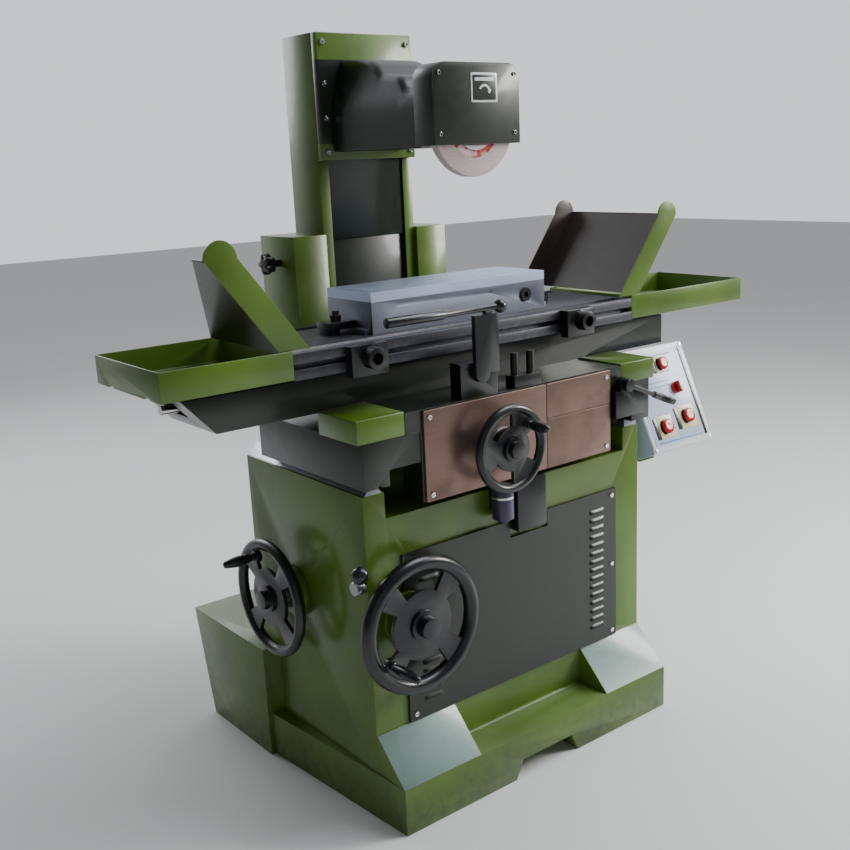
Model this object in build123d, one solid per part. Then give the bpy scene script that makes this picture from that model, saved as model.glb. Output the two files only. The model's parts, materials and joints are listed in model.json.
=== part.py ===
"""Surface grinder: cast base, moving saddle and table, wheel head on a slim column.

Millimetres, +X to the right along the table, +Y away from the operator, +Z up.
The origin lies on the floor under the middle of the machine.
"""
import os
from math import atan2, cos, degrees, hypot, pi, radians, sin, sqrt, tan

from build123d import *

# ---- clearances ----
RUN = 0.05            # radial clearance of a shaft in its bore
GAP = 0.3             # gap between pieces that slide past each other
WAY_GAP = 0.5         # height that a V way lifts to leave GAP on its flanks

# ---- base ----
FOOT_FRONT = -375.0
FOOT_HALF = 370.0
FOOT_TOP = 96.0
FLOOR = 20.0          # thickness of the bottom plate
WALL = 15.0
PAD_TOP = 178.0
PAD_WIDTH = 190.0
BODY_FRONT = -292.0
BODY_DEPTH = 422.0
BODY_HALF = 371.0
BODY_TOP = 655.0
WELL_HALF = 322.0     # open well between the side walls, where the saddle hangs in
WELL_FLOOR = 603.0
SHELF_HALF = 412.0    # wide shelf at the back of the foot
SHELF_FRONT = 60.0
SHELF_BEHIND = 245.0  # from the body's back to the shelf's back
SHELF_TOE = 56.0      # how far the shelf's back slopes in at the floor
SHELF_TOP = 247.0
NOTCH_HALF = 90.0     # pry notch under the front edge
NOTCH_HEIGHT = 40.0
NOTCH_DEPTH = 75.0
WAY_RISE = 25.0
WAY_HALF = 19.5

# ---- door ----
DOOR_HALF = 293.0
DOOR_LOW = 178.0
DOOR_TOP = 525.0
DOOR_THICK = 6.0
LOUVRES = 15
LOUVRE_IN = 60.0      # from the door's edge to the middle of a louvre
LOUVRE_HALF = 24.0
DOOR_HOLE_R = 54.0    # hole round the feed shaft's bearing

# ---- column ----
COLUMN_HALF = 122.5
COLUMN_BEHIND = 36.0  # from the body's back to the column's front
COLUMN_DEPTH = 113.0
COLUMN_TOP = 1503.0
COLUMN_FOOT = 300.0
COLUMN_WALL = 10.0
GROOVE_DEPTH = 20.0   # dovetail groove in the column's front
GROOVE_MOUTH = 98.0   # half its width at the front
GROOVE_FLARE = 12.0   # how much wider each side is at the back
CHEEK_HALF = 205.0    # upright cheeks of the base beside the column
CHEEK_BEHIND = 25.0
CHEEK_TOP = 1091.0
COVER_THICK = 3.0

# ---- head ----
HEAD_DOWN = 200.0     # how far the head travels down from its stored height
SLIDE_LOW = 1245.0
SLIDE_THICK = 18.0
TONGUE_LOW = 1300.0
HEAD_LOW = 1262.0
HEAD_HALF = 95.0
HEAD_CROWN_HALF = 64.0
SPINDLE_X = 0.0
SPINDLE_Z = 1304.0
SPINDLE_R = 12.5
BEARING_R = 26.0
BEARING_WIDE = 15.0
MOTOR_Z = 1382.0
MOTOR_R = 42.0
MOTOR_FRONT = 46.0
BELT_Y = 14.0
BELT_WIDE = 18.0
BELT_THICK = 4.0
SPINDLE_PULLEY_R = 24.0
MOTOR_PULLEY_R = 20.0

# ---- wheel and its guard ----
WHEEL_R = 100.0
WHEEL_WIDE = 20.0
WHEEL_BORE = 38.0
GUARD_HALF = 107.5
GUARD_FRONT = -216.0
GUARD_DEPTH = 62.0
GUARD_LOW = 1265.0
GUARD_TOP = 1415.0
GUARD_THICK = 3.0

# ---- saddle ----
SADDLE_FRONT = -319.0
SADDLE_REAR = 50.0
SHOE_HALF = 380.0
BEAM_LEFT = -655.0    # long upper beam that carries the table's ways
BEAM_RIGHT = 565.0
BEAM_FRONT = -195.0
BEAM_REAR = -20.0
BEAM_LOW = 800.0
BEAM_TOP = 866.0
APRON_HALF = 248.0
APRON_LOW = 624.0
APRON_TOP = 807.0
APRON_PLATE = 6.0
BOX_HALF = 252.0
COVER_HALF = 392.0    # green covers over the saddle's shoes
COVER_INNER = 287.0
COVER_LOW = 762.0
COVER_TOP = 804.0
CROSS_OUT = 165.0     # saddle travel towards the operator
CROSS_IN = 15.0
SCREW_LEAD = 5.0

# ---- table ----
TABLE_LEFT = -457.0
TABLE_RIGHT = 416.0
TABLE_FRONT = -235.0
TABLE_REAR = 25.0
TABLE_LOW = 875.0
TABLE_TOP = 923.0
TABLE_TRAVEL_LEFT = 225.0
TABLE_TRAVEL_RIGHT = 265.0
SLOT_Z = 899.0        # T slot for the dogs along the table's front
LEFT_TRAY = 250.0
RIGHT_TRAY = 396.0
TRAY_SHEET = 3.0
GUARD_RISE = 168.0    # splash guards
GUARD_LEAN = 126.0
GUARD_RIM = 62.0
GUARD_SHEET = 3.0

# ---- magnetic chuck, 150 x 450 ----
CHUCK_LONG = 450.0
CHUCK_DEEP = 150.0
CHUCK_HIGH = 79.0
CHUCK_MID = -20.0
CHUCK_FRONT = -175.0
CHUCK_PLATE = 18.0
POLES = 21

# ---- handwheels ----
FEED_WHEEL_R = 136.0
FEED_WHEEL_X = -290.0
FEED_WHEEL_Y = -345.0
FEED_Z = 400.0        # height of the vertical-feed shafts
SIDE_WHEEL_R = 122.0
SIDE_WHEEL_X = -430.0
SIDE_WHEEL_Y = -30.0
FEED_SHAFT_R = 12.0
CROSS_WHEEL_R = 87.0
CROSS_WHEEL_Y = -372.0
CROSS_X = -78.0
CROSS_Z = 702.0
CROSS_SCREW_R = 11.0
LIFT_SCREW_R = 13.0

# ---- control panel ----
PANEL_LEFT = 406.0
PANEL_WIDE = 204.0
PANEL_HIGH = 242.0
PANEL_DEEP = 60.0
PANEL_TOP = (-213.0, 799.0)
PANEL_TILT = 24.4
BUTTON_TRAVEL = 3.0


# ---- helpers ----
def block(x, y, z):
    """Box between the corners given as (low, high) along each axis."""
    spans = [b - a for a, b in (x, y, z)]
    middles = [(a + b) / 2 for a, b in (x, y, z)]
    return Pos(*middles) * Box(*spans)


def rod(axis, start, stop, at, r):
    """Cylinder along an axis from start to stop, at its two other coordinates."""
    middle = (start + stop) / 2
    turn = {"x": Rot(0, 90, 0), "y": Rot(90, 0, 0), "z": Rot(0, 0, 0)}[axis]
    place = {"x": (middle, *at), "y": (at[0], middle, at[1]), "z": (*at, middle)}[axis]
    return Pos(*place) * turn * Cylinder(r, abs(stop - start))


def tube(axis, start, stop, at, r, bore):
    """Cylinder with a bore right through it."""
    return rod(axis, start, stop, at, r) - rod(axis, start - 1, stop + 1, at, bore)


def prism(axis, outline, start, stop):
    """Closed outline carried along an axis; its points are the two other coordinates."""
    def place(p):
        return {"x": (start, *p), "y": (p[0], start, p[1]), "z": (*p, start)}[axis]

    way = {"x": (1, 0, 0), "y": (0, 1, 0), "z": (0, 0, 1)}[axis]
    face = make_face(Polyline(*[place(p) for p in outline], close=True))
    return extrude(face, amount=stop - start, dir=way)


def mirrored(outline):
    """The outline on the other side of x = 0, in the opposite order."""
    return [(-a, b) for a, b in reversed(outline)]


def both_sides(x, y, z):
    """A block and its mirror image across x = 0."""
    return block(x, y, z) + block((-x[1], -x[0]), y, z)


def screw_head(axis, at, out, r, high):
    """Domed screw head standing out of a face along an axis, with its slot."""
    start, stop = sorted((0.0, high * out))
    head = rod(axis, start, stop, (0, 0), r)
    slot = {
        "y": block((-r, r), sorted((0.5 * high * out, high * out)), (-0.8, 0.8)),
        "x": block(sorted((0.5 * high * out, high * out)), (-r, r), (-0.8, 0.8)),
    }[axis]
    return Pos(*at) * (head - slot)


# ---- base ----
BODY_REAR = BODY_FRONT + BODY_DEPTH
SHELF_REAR = BODY_REAR + SHELF_BEHIND
COLUMN_FRONT = BODY_REAR + COLUMN_BEHIND
CHEEK_FRONT = BODY_REAR + CHEEK_BEHIND
COLUMN_REAR = COLUMN_FRONT + COLUMN_DEPTH
CHEEK_REAR = COLUMN_REAR + WALL
WAY_X = (WELL_HALF + BODY_HALF) / 2
GROOVE_BACK = COLUMN_FRONT + GROOVE_DEPTH
MITRE_R = 30.0
MITRE_LONG = 14.0
LIFT_Y = COLUMN_REAR - COLUMN_WALL - MITRE_R - 2


def way_outline(lift):
    """Section of the left V way, raised by lift."""
    top = BODY_TOP + WAY_RISE + lift
    low = BODY_TOP - 1 + lift
    spread = WAY_HALF * (1 + 1 / WAY_RISE)
    return [(-WAY_X - spread, low), (-WAY_X + spread, low), (-WAY_X, top)]


def base_casting():
    foot = prism(
        "z",
        [(-FOOT_HALF, FOOT_FRONT), (FOOT_HALF, FOOT_FRONT),
         (SHELF_HALF, SHELF_FRONT + 140), (-SHELF_HALF, SHELF_FRONT + 140)],
        0, FOOT_TOP,
    )
    pads = [
        prism("x", [(FOOT_FRONT, FOOT_TOP), (BODY_FRONT, PAD_TOP), (BODY_FRONT, FOOT_TOP)],
              low, low + PAD_WIDTH)
        for low in (-FOOT_HALF, FOOT_HALF - PAD_WIDTH)
    ]
    shelf = prism(
        "x",
        [(SHELF_FRONT, 0), (SHELF_REAR - SHELF_TOE, 0), (SHELF_REAR, SHELF_TOP),
         (SHELF_FRONT, SHELF_TOP)],
        -SHELF_HALF, SHELF_HALF,
    )
    body = block((-BODY_HALF, BODY_HALF), (BODY_FRONT, BODY_REAR), (FOOT_TOP - 1, BODY_TOP))
    pedestal = block((-CHEEK_HALF, CHEEK_HALF), (BODY_REAR - 1, CHEEK_REAR),
                     (SHELF_TOP - 1, BODY_TOP))
    cheeks = block((-CHEEK_HALF, CHEEK_HALF), (CHEEK_FRONT, CHEEK_REAR),
                   (BODY_TOP - 1, CHEEK_TOP))
    solid = foot + pads + shelf + body + pedestal + cheeks

    inside = block((WALL - BODY_HALF, BODY_HALF - WALL),
                   (BODY_FRONT + WALL, BODY_REAR - WALL), (FLOOR, WELL_FLOOR - WALL))
    toe = both_sides((NOTCH_HALF + 20, FOOT_HALF - WALL),
                     (FOOT_FRONT + WALL, BODY_FRONT + WALL + 1), (FLOOR, FOOT_TOP - WALL))
    shelf_room = block((WALL - SHELF_HALF, SHELF_HALF - WALL),
                       (BODY_REAR - WALL - 1, SHELF_REAR - SHELF_TOE - WALL),
                       (FLOOR, SHELF_TOP - WALL))
    cheek_room = both_sides((COLUMN_HALF + WALL, CHEEK_HALF - WALL),
                            (CHEEK_FRONT + WALL, CHEEK_REAR - WALL),
                            (SHELF_TOP - WALL - 1, CHEEK_TOP - WALL))
    well = block((-WELL_HALF, WELL_HALF), (BODY_FRONT - 1, BODY_REAR - WALL),
                 (WELL_FLOOR, BODY_TOP + 1))
    pocket = block((-COLUMN_HALF, COLUMN_HALF), (COLUMN_FRONT, COLUMN_REAR),
                   (COLUMN_FOOT, CHEEK_TOP + 1))
    mouth = block((-COLUMN_HALF - GAP, COLUMN_HALF + GAP), (BODY_REAR, COLUMN_FRONT),
                  (BODY_TOP, CHEEK_TOP + 1))
    doorway = block((40 - DOOR_HALF, DOOR_HALF - 40), (BODY_FRONT - 1, BODY_FRONT + WALL + 1),
                    (DOOR_LOW + 25, LIMIT_LOW - 24))
    notch = prism("y", [(-NOTCH_HALF, -1), (NOTCH_HALF, -1), (NOTCH_HALF - 20, NOTCH_HEIGHT),
                        (20 - NOTCH_HALF, NOTCH_HEIGHT)],
                  FOOT_FRONT - 1, FOOT_FRONT + NOTCH_DEPTH)
    bores = [
        rod("y", BODY_FRONT - 1, BODY_FRONT + WALL + 1, (FEED_WHEEL_X, FEED_Z), FEED_BOSS_R),
        rod("x", -BODY_HALF - 1, WALL - BODY_HALF + 1, (SIDE_WHEEL_Y, FEED_Z), FEED_BOSS_R),
        rod("y", BODY_REAR - WALL - 1, COLUMN_FRONT + 1, (0, FEED_Z), FEED_SHAFT_R + 4),
        rod("z", COLUMN_FOOT - WALL - 1, COLUMN_FOOT + 1, (0, LIFT_Y), LIFT_SCREW_R - 3),
    ]
    solid = solid - [inside, toe, shelf_room, cheek_room, well, pocket, mouth, doorway, notch]
    solid = solid - bores
    v_way = prism("y", way_outline(0), BODY_FRONT, BODY_REAR)
    flat_way = block((WAY_X - WAY_HALF, WAY_X + WAY_HALF), (BODY_FRONT, BODY_REAR),
                     (BODY_TOP - 1, BODY_TOP + 17))
    hangers = [
        block((-30, 30), (y, y + 20), (FEED_Z - 30, WELL_FLOOR - WALL + 1))
        - rod("y", y - 1, y + 21, (0, FEED_Z), FEED_SHAFT_R + RUN)
        for y in TRANSFER_HANGERS
    ]
    rib = block((FEED_WHEEL_X + 62, FEED_WHEEL_X + 82), (SIDE_WHEEL_Y - 30, SIDE_WHEEL_Y + 30),
                (FEED_Z - 30, WELL_FLOOR - WALL + 1))
    rib -= rod("x", FEED_WHEEL_X + 61, FEED_WHEEL_X + 83, (SIDE_WHEEL_Y, FEED_Z),
               FEED_SHAFT_R + RUN)
    post = block((CROSS_X - 25, CROSS_X + 25), NUT_Y, (WELL_FLOOR - 1, CROSS_Z - 30))
    return solid + v_way + flat_way + hangers + rib + post


def front_door():
    """Sheet door over the doorway, notched for the limit box, with two rows of louvres."""
    front = BODY_FRONT - DOOR_THICK
    sheet = block((-DOOR_HALF, DOOR_HALF), (front, BODY_FRONT), (DOOR_LOW, DOOR_TOP))
    sheet -= block((LIMIT_LEFT - 6, LIMIT_LEFT + LIMIT_WIDE + 18), (front - 1, BODY_FRONT + 1),
                   (LIMIT_LOW - 14, DOOR_TOP + 1))
    pitch = (DOOR_TOP - DOOR_LOW - 60) / LOUVRES
    for side in (-1, 1):
        for i in range(LOUVRES):
            z = DOOR_LOW + 28 + pitch * (i + 0.5)
            x = side * (DOOR_HALF - LOUVRE_IN)
            if hypot(max(abs(x - FEED_WHEEL_X) - LOUVRE_HALF, 0), z - FEED_Z) < DOOR_HOLE_R + 4:
                continue
            sheet -= block((x - LOUVRE_HALF, x + LOUVRE_HALF), (front - 1, BODY_FRONT + 1),
                           (z - 3, z + 3))
    return sheet - rod("y", front - 1, BODY_FRONT + 1, (FEED_WHEEL_X, FEED_Z), DOOR_HOLE_R)


def cover_screws():
    """Six screws hold the door."""
    inset = 14
    return [
        screw_head("y", (x, BODY_FRONT - DOOR_THICK, z), -1, 5, 3)
        for x in (inset - DOOR_HALF, DOOR_HALF - inset)
        for z in (DOOR_LOW + inset, (DOOR_LOW + DOOR_TOP) / 2, DOOR_TOP - inset)
        if hypot(x - FEED_WHEEL_X, z - FEED_Z) > FEED_BOSS_R + 30
    ]


# ---- small boxes on the base front ----
LIMIT_LEFT = -14.0
LIMIT_WIDE = 80.0
LIMIT_LOW = 503.0
LIMIT_HIGH = 612.0
LIMIT_DEEP = 24.0
PILOT_R = 22.0


def limit_box():
    box = block((LIMIT_LEFT, LIMIT_LEFT + LIMIT_WIDE), (BODY_FRONT - LIMIT_DEEP, BODY_FRONT),
                (LIMIT_LOW, LIMIT_HIGH))
    return fillet(box.edges().filter_by(Axis.Y), 6)


def pilot_cylinder():
    """Small upright cylinder beside the limit box, on its own foot."""
    at = (LIMIT_LEFT - 42, BODY_FRONT - PILOT_R - 4)
    barrel = rod("z", LIMIT_HIGH - 66, LIMIT_HIGH + 2, at, PILOT_R)
    neck = rod("z", LIMIT_HIGH - 73, LIMIT_HIGH - 65, at, 11)
    foot = block((at[0] - 14, at[0] + 14), (BODY_FRONT - 12, BODY_FRONT),
                 (LIMIT_HIGH - 50, LIMIT_HIGH - 6))
    return barrel + neck + foot


# ---- column ----
def groove(low, high, shrink, depth=GROOVE_DEPTH, mouth=0.0):
    """Dovetail block in the column's front groove, smaller by shrink on each flank."""
    slope = GROOVE_FLARE / GROOVE_DEPTH
    inset = shrink * sqrt(1 + slope * slope)
    half = GROOVE_MOUTH - inset
    wide = half + slope * depth
    front = half - slope * mouth
    return prism(
        "z",
        [(-front, COLUMN_FRONT - mouth), (front, COLUMN_FRONT - mouth),
         (wide, COLUMN_FRONT + depth), (-wide, COLUMN_FRONT + depth)],
        low, high,
    )


def column():
    body = block((-COLUMN_HALF, COLUMN_HALF), (COLUMN_FRONT, COLUMN_REAR),
                 (COLUMN_FOOT, COLUMN_TOP))
    body -= groove(COLUMN_FOOT + 180, COLUMN_TOP + 1, 0, mouth=1.0)
    box_front = GROOVE_BACK + COLUMN_WALL
    body -= block((COLUMN_WALL - COLUMN_HALF, COLUMN_HALF - COLUMN_WALL),
                  (box_front, COLUMN_REAR - COLUMN_WALL),
                  (COLUMN_FOOT + COLUMN_WALL, COLUMN_TOP - 2 * COLUMN_WALL))
    slot_low = NUT_LOW - HEAD_DOWN - 10
    body -= block((-NUT_NECK - 1, NUT_NECK + 1), (COLUMN_FRONT, box_front + 1),
                  (slot_low, NUT_LOW + NUT_HIGH + 10))
    body -= rod("y", COLUMN_FRONT - 1, box_front + 1, (0, FEED_Z), FEED_SHAFT_R + 4)
    body -= rod("z", COLUMN_FOOT - 1, COLUMN_FOOT + COLUMN_WALL + 1, (0, LIFT_Y),
                LIFT_SCREW_R - 3 + RUN)
    return body


def lower_way_cover():
    """Fixed sheet at the back of the groove, below the head's slide."""
    back = COLUMN_FRONT + 12
    half = GROOVE_MOUTH - 3
    sheet = block((-half, half), (back - COVER_THICK, back),
                  (COLUMN_FOOT + 181, TONGUE_LOW - HEAD_DOWN - 3))
    legs = both_sides((half - 24, half - 12), (back, GROOVE_BACK),
                      (COLUMN_FOOT + 181, TONGUE_LOW - HEAD_DOWN - 30))
    return sheet + legs


def column_clamp():
    """Star knob on the left cheek; its stem runs through the cheek to the column."""
    at = (CLAMP_Y, CLAMP_Z)
    stem = rod("x", -CHEEK_HALF - 22, -CHEEK_HALF - GAP, at, 8)
    knob = rod("x", -CHEEK_HALF - 44, -CHEEK_HALF - 20, at, 15)
    for i in range(5):
        turn = 2 * pi * i / 5
        lobe = (at[0] + 17 * cos(turn), at[1] + 17 * sin(turn))
        knob += rod("x", -CHEEK_HALF - 42, -CHEEK_HALF - 22, lobe, 8)
    return stem + knob


CLAMP_Y = 215.0
CLAMP_Z = 1035.0


# ---- head ----
NUT_LOW = 1385.0
NUT_HIGH = 40.0
NUT_NECK = 20.0
SLIDE_FRONT = COLUMN_FRONT - GAP - SLIDE_THICK


def head_slide():
    plate = block((-COLUMN_HALF, COLUMN_HALF), (SLIDE_FRONT, COLUMN_FRONT - GAP),
                  (SLIDE_LOW, COLUMN_TOP))
    tongue = groove(TONGUE_LOW, COLUMN_TOP, GAP, GROOVE_DEPTH - GAP, mouth=GAP + 1)
    seat = block((-NUT_NECK, NUT_NECK), (GROOVE_BACK - 4, GROOVE_BACK + 1),
                 (NUT_LOW, NUT_LOW + NUT_HIGH))
    return plate + tongue - seat


def feed_nut():
    """Bronze nut: its neck passes through the column's slot to the slide."""
    neck = block((-NUT_NECK, NUT_NECK), (GROOVE_BACK - 4, LIFT_Y - 8),
                 (NUT_LOW, NUT_LOW + NUT_HIGH))
    ring = rod("z", NUT_LOW, NUT_LOW + NUT_HIGH, (0, LIFT_Y), 24)
    hole = rod("z", NUT_LOW - 1, NUT_LOW + NUT_HIGH + 1, (0, LIFT_Y), LIFT_SCREW_R + RUN)
    return neck + ring - hole


def upper_way_cover():
    """Sheet that hangs from the head's slide and passes in front of the lower one."""
    back = COLUMN_FRONT + 7
    half = GROOVE_MOUTH - 2
    sheet = block((-half, half), (back - COVER_THICK, back),
                  (SLIDE_LOW - 167, TONGUE_LOW - GAP))
    strap = block((-half, half), (COLUMN_FRONT - GAP, back - COVER_THICK + 1),
                  (SLIDE_LOW + 5, SLIDE_LOW + 30))
    return sheet + strap


def head_section(offset):
    """Section of the head across its axis, moved in by offset."""
    half = HEAD_HALF - offset
    crown = HEAD_CROWN_HALF - offset
    return [(-half, HEAD_LOW + offset), (half, HEAD_LOW + offset), (half, 1345 - offset / 2),
            (crown, 1450 - offset), (-crown, 1450 - offset), (-half, 1345 - offset / 2)]


HEAD_REAR = SLIDE_FRONT
HEAD_FRONT = GUARD_FRONT + GUARD_DEPTH
HEAD_STEPS = [(HEAD_REAR, 1450), (40, 1440), (12, 1426), (-5, 1408), (-72, 1402), (-104, 1369)]


def head_side(offset):
    """Stepped side outline of the head, moved in by offset."""
    steps = [(y + (offset if y < HEAD_REAR else -offset), z - offset) for y, z in HEAD_STEPS]
    low = HEAD_LOW + offset
    return [(HEAD_REAR - offset, low), *steps, (HEAD_FRONT + offset, 1369 - offset),
            (HEAD_FRONT + offset, low)]


def head_casting():
    """Hollow head: spindle cartridge below, motor room above and a belt room in front."""
    shell = prism("y", head_section(0), HEAD_FRONT, HEAD_REAR)
    shell = shell & prism("x", head_side(0), -HEAD_HALF, HEAD_HALF)
    wall = 9.0
    room = prism("y", head_section(wall), HEAD_FRONT + wall, HEAD_REAR - wall)
    room = room & prism("x", head_side(wall), -HEAD_HALF, HEAD_HALF)
    shell -= room
    at = (SPINDLE_X, SPINDLE_Z)
    for low, high in CARTRIDGES:
        sleeve = rod("y", low, high, at, BEARING_R + 8) & prism(
            "x", head_side(wall / 2), -HEAD_HALF, HEAD_HALF)
        shell += sleeve
        shell -= rod("y", low - 1, high + 1, at, SPINDLE_R + 6)
    for seat in BEARING_SEATS:
        shell -= rod("y", seat, seat + BEARING_WIDE, at, BEARING_R)
    shell -= rod("y", HEAD_FRONT - 1, HEAD_FRONT + wall + 1, at, SPINDLE_R + 6)
    brackets = both_sides((MOTOR_R - 6, HEAD_HALF), (MOTOR_FRONT + 16, HEAD_REAR - 30),
                          (MOTOR_Z - 9, MOTOR_Z + 9))
    brackets = brackets & prism("y", head_section(wall / 2), HEAD_FRONT, HEAD_REAR)
    return shell + (brackets - rod("y", MOTOR_FRONT, HEAD_REAR, (0, MOTOR_Z), MOTOR_R))


CARTRIDGES = [(HEAD_FRONT + 4, HEAD_FRONT + 44), (MOTOR_FRONT, MOTOR_FRONT + 40)]
BEARING_SEATS = [CARTRIDGES[0][0] + 12, CARTRIDGES[1][0] + 12]


def spindle_motor():
    """Motor frame with its bore for the rotor."""
    at = (0, MOTOR_Z)
    frame = rod("y", MOTOR_FRONT, HEAD_REAR - 12, at, MOTOR_R)
    frame -= rod("y", MOTOR_FRONT + 8, HEAD_REAR - 20, at, 26)
    return frame - rod("y", MOTOR_FRONT - 1, HEAD_REAR - 19, at, 8 + RUN)


def motor_rotor():
    at = (0, MOTOR_Z)
    core = rod("y", MOTOR_FRONT + 10, HEAD_REAR - 22, at, 25)
    shaft = rod("y", BELT_Y + 2, HEAD_REAR - 19 - GAP, at, 8)
    pulley = rod("y", BELT_Y + GAP, BELT_Y + BELT_WIDE - GAP, at, MOTOR_PULLEY_R)
    return core + shaft + pulley


def drive_belt():
    """Flat belt between motor and spindle, standing GAP off both pulleys."""
    inner = prism("y", belt_hull(GAP), BELT_Y, BELT_Y + BELT_WIDE)
    return prism("y", belt_hull(GAP + BELT_THICK), BELT_Y, BELT_Y + BELT_WIDE) - inner


def belt_hull(offset):
    """Outline round both pulleys at a distance, as points from the motor down and back."""
    top, low = MOTOR_PULLEY_R + offset, SPINDLE_PULLEY_R + offset
    lean = atan2(low - top, MOTOR_Z - SPINDLE_Z)
    upper = [lean + (pi - 2 * lean) * i / 16 for i in range(17)]
    lower = [pi - lean + (pi + 2 * lean) * i / 16 for i in range(17)]
    return ([(top / cos(pi / 40) * cos(a), MOTOR_Z + top / cos(pi / 40) * sin(a)) for a in upper]
            + [(low / cos(pi / 40) * cos(a), SPINDLE_Z + low / cos(pi / 40) * sin(a))
               for a in lower])


def spindle_bearings():
    """Front and rear spindle bearings, pressed into their seats."""
    return [
        tube("y", seat, seat + BEARING_WIDE, (SPINDLE_X, SPINDLE_Z), BEARING_R, SPINDLE_R + RUN)
        for seat in BEARING_SEATS
    ]


def spindle():
    """Ground spindle with its pulley, a collar behind the wheel and a threaded nose."""
    at = (SPINDLE_X, SPINDLE_Z)
    shaft = rod("y", WHEEL_BACK - WHEEL_WIDE - 9, CARTRIDGES[1][1] + 6, at, SPINDLE_R)
    pulley = rod("y", BELT_Y + GAP, BELT_Y + BELT_WIDE - GAP, at, SPINDLE_PULLEY_R)
    return shaft + pulley


WHEEL_BACK = GUARD_FRONT + 34.0


def wheel_flanges():
    """Back flange with the wheel's seat, front flange, and the nose nut."""
    at = (SPINDLE_X, SPINDLE_Z)
    bore = SPINDLE_R
    back = tube("y", WHEEL_BACK, WHEEL_BACK + 12, at, 40, bore)
    back += tube("y", WHEEL_BACK - WHEEL_WIDE + 1, WHEEL_BACK + 1, at, WHEEL_BORE, bore)
    front_at = WHEEL_BACK - WHEEL_WIDE
    front = tube("y", front_at - 4, front_at, at, 50, bore)
    nut = tube("y", front_at - 8, front_at - 4, at, 26, bore)
    return [back, front, nut]


def grinding_wheel():
    wheel = tube("y", WHEEL_BACK - WHEEL_WIDE, WHEEL_BACK, (SPINDLE_X, SPINDLE_Z), WHEEL_R,
                 WHEEL_BORE)
    return chamfer(wheel.edges().filter_by(GeomType.CIRCLE).group_by(SortBy.RADIUS)[-1], 1)


def guard_outline(offset):
    """Front view of the wheel guard: a box with rounded upper corners."""
    r = 30.0 - offset
    half = GUARD_HALF - offset
    top = GUARD_TOP - offset
    arcs = []
    for side, start in ((1, 0.0), (-1, pi / 2)):
        for i in range(9):
            turn = start + pi / 2 * i / 8
            arcs.append((side * (half - r) + r * cos(turn), top - r + r * sin(turn)))
    return [(-half, GUARD_LOW), (half, GUARD_LOW), *arcs]


def wheel_guard():
    """Sheet shell open at the front and below; the cover plate closes its front."""
    rear = GUARD_FRONT + GUARD_DEPTH - GAP / 2
    shell = prism("y", guard_outline(0), GUARD_FRONT + GUARD_THICK, rear)
    room = prism("y", [(x, z if z > GUARD_LOW else z - 1) for x, z in guard_outline(GUARD_THICK)],
                 GUARD_FRONT, rear - GUARD_THICK)
    hole = rod("y", rear - GUARD_THICK - 1, rear + 1, (SPINDLE_X, SPINDLE_Z), SPINDLE_R + 6)
    return shell - room - hole


def guard_cover():
    plate = prism("y", guard_outline(0), GUARD_FRONT, GUARD_FRONT + GUARD_THICK)
    return plate


# ---- saddle ----
def saddle_casting():
    """Two shoes on the base's ways, a box behind the apron and the long table beam."""
    shoes = both_sides((WELL_HALF + 2, SHOE_HALF), (SADDLE_FRONT + 3, SADDLE_REAR),
                       (BODY_TOP + 17 + GAP, COVER_LOW - 2))
    bridge = block((-SHOE_HALF, SHOE_HALF), (SADDLE_FRONT + 3, SADDLE_REAR),
                   (COVER_LOW - 60, COVER_LOW - 2))
    bridge_top = block((GAP - COVER_INNER, COVER_INNER - GAP), (SADDLE_FRONT, SADDLE_REAR),
                       (COVER_LOW - 3, BEAM_LOW + 1))
    box = block((-BOX_HALF, BOX_HALF), (SADDLE_FRONT, SADDLE_FRONT + 60), (APRON_LOW, COVER_LOW))
    beam = prism(
        "y",
        [(BEAM_LEFT, BEAM_TOP), (BEAM_LEFT + 60, BEAM_LOW), (BEAM_RIGHT, BEAM_LOW),
         (BEAM_RIGHT, BEAM_TOP)],
        BEAM_FRONT, BEAM_REAR,
    )
    solid = shoes + bridge + bridge_top + box + beam
    hollow = block((20 - BOX_HALF, BOX_HALF - 20), (SADDLE_FRONT + 14, SADDLE_REAR - 20),
                   (APRON_LOW + 12, BEAM_LOW - 12))
    under = block((20 - BOX_HALF, BOX_HALF - 20), (SADDLE_FRONT + 59, SADDLE_REAR - 20),
                  (APRON_LOW - 1, BEAM_LOW - 30))
    trough = block((BEAM_LEFT + 70, BEAM_RIGHT - 12), (CYLINDER_Y - 31, CYLINDER_Y + 31),
                   (BEAM_LOW + 6, BEAM_TOP + 1))
    trough += block((BEAM_LEFT + 12, BEAM_LEFT + 71), (CYLINDER_Y - 31, CYLINDER_Y + 31),
                    (CYLINDER_Z - 14, BEAM_TOP + 1))
    cross_bore = rod("y", SADDLE_FRONT - 1, SADDLE_FRONT + 15, (CROSS_X, CROSS_Z),
                     CROSS_SCREW_R + RUN)
    solid = solid - hollow - under - trough - cross_bore
    solid = solid - prism("y", way_outline(WAY_GAP), SADDLE_FRONT - 1, SADDLE_REAR + 1)
    rod_holes = [
        rod("x", low, low + 14, (CYLINDER_Y, CYLINDER_Z), PISTON_ROD_R)
        for low in (BEAM_LEFT - 1, BEAM_RIGHT - 13)
    ]
    front_rail = block((BEAM_LEFT + 4, BEAM_RIGHT - 4), (BEAM_FRONT + 4, BEAM_FRONT + 24),
                       (BEAM_TOP - 1, BEAM_TOP + 14))
    back_rail = block((BEAM_LEFT + 4, BEAM_RIGHT - 4), (BEAM_REAR - 24, BEAM_REAR - 4),
                      (BEAM_TOP - 1, BEAM_TOP + 14))
    return solid - rod_holes + front_rail + back_rail


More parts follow.
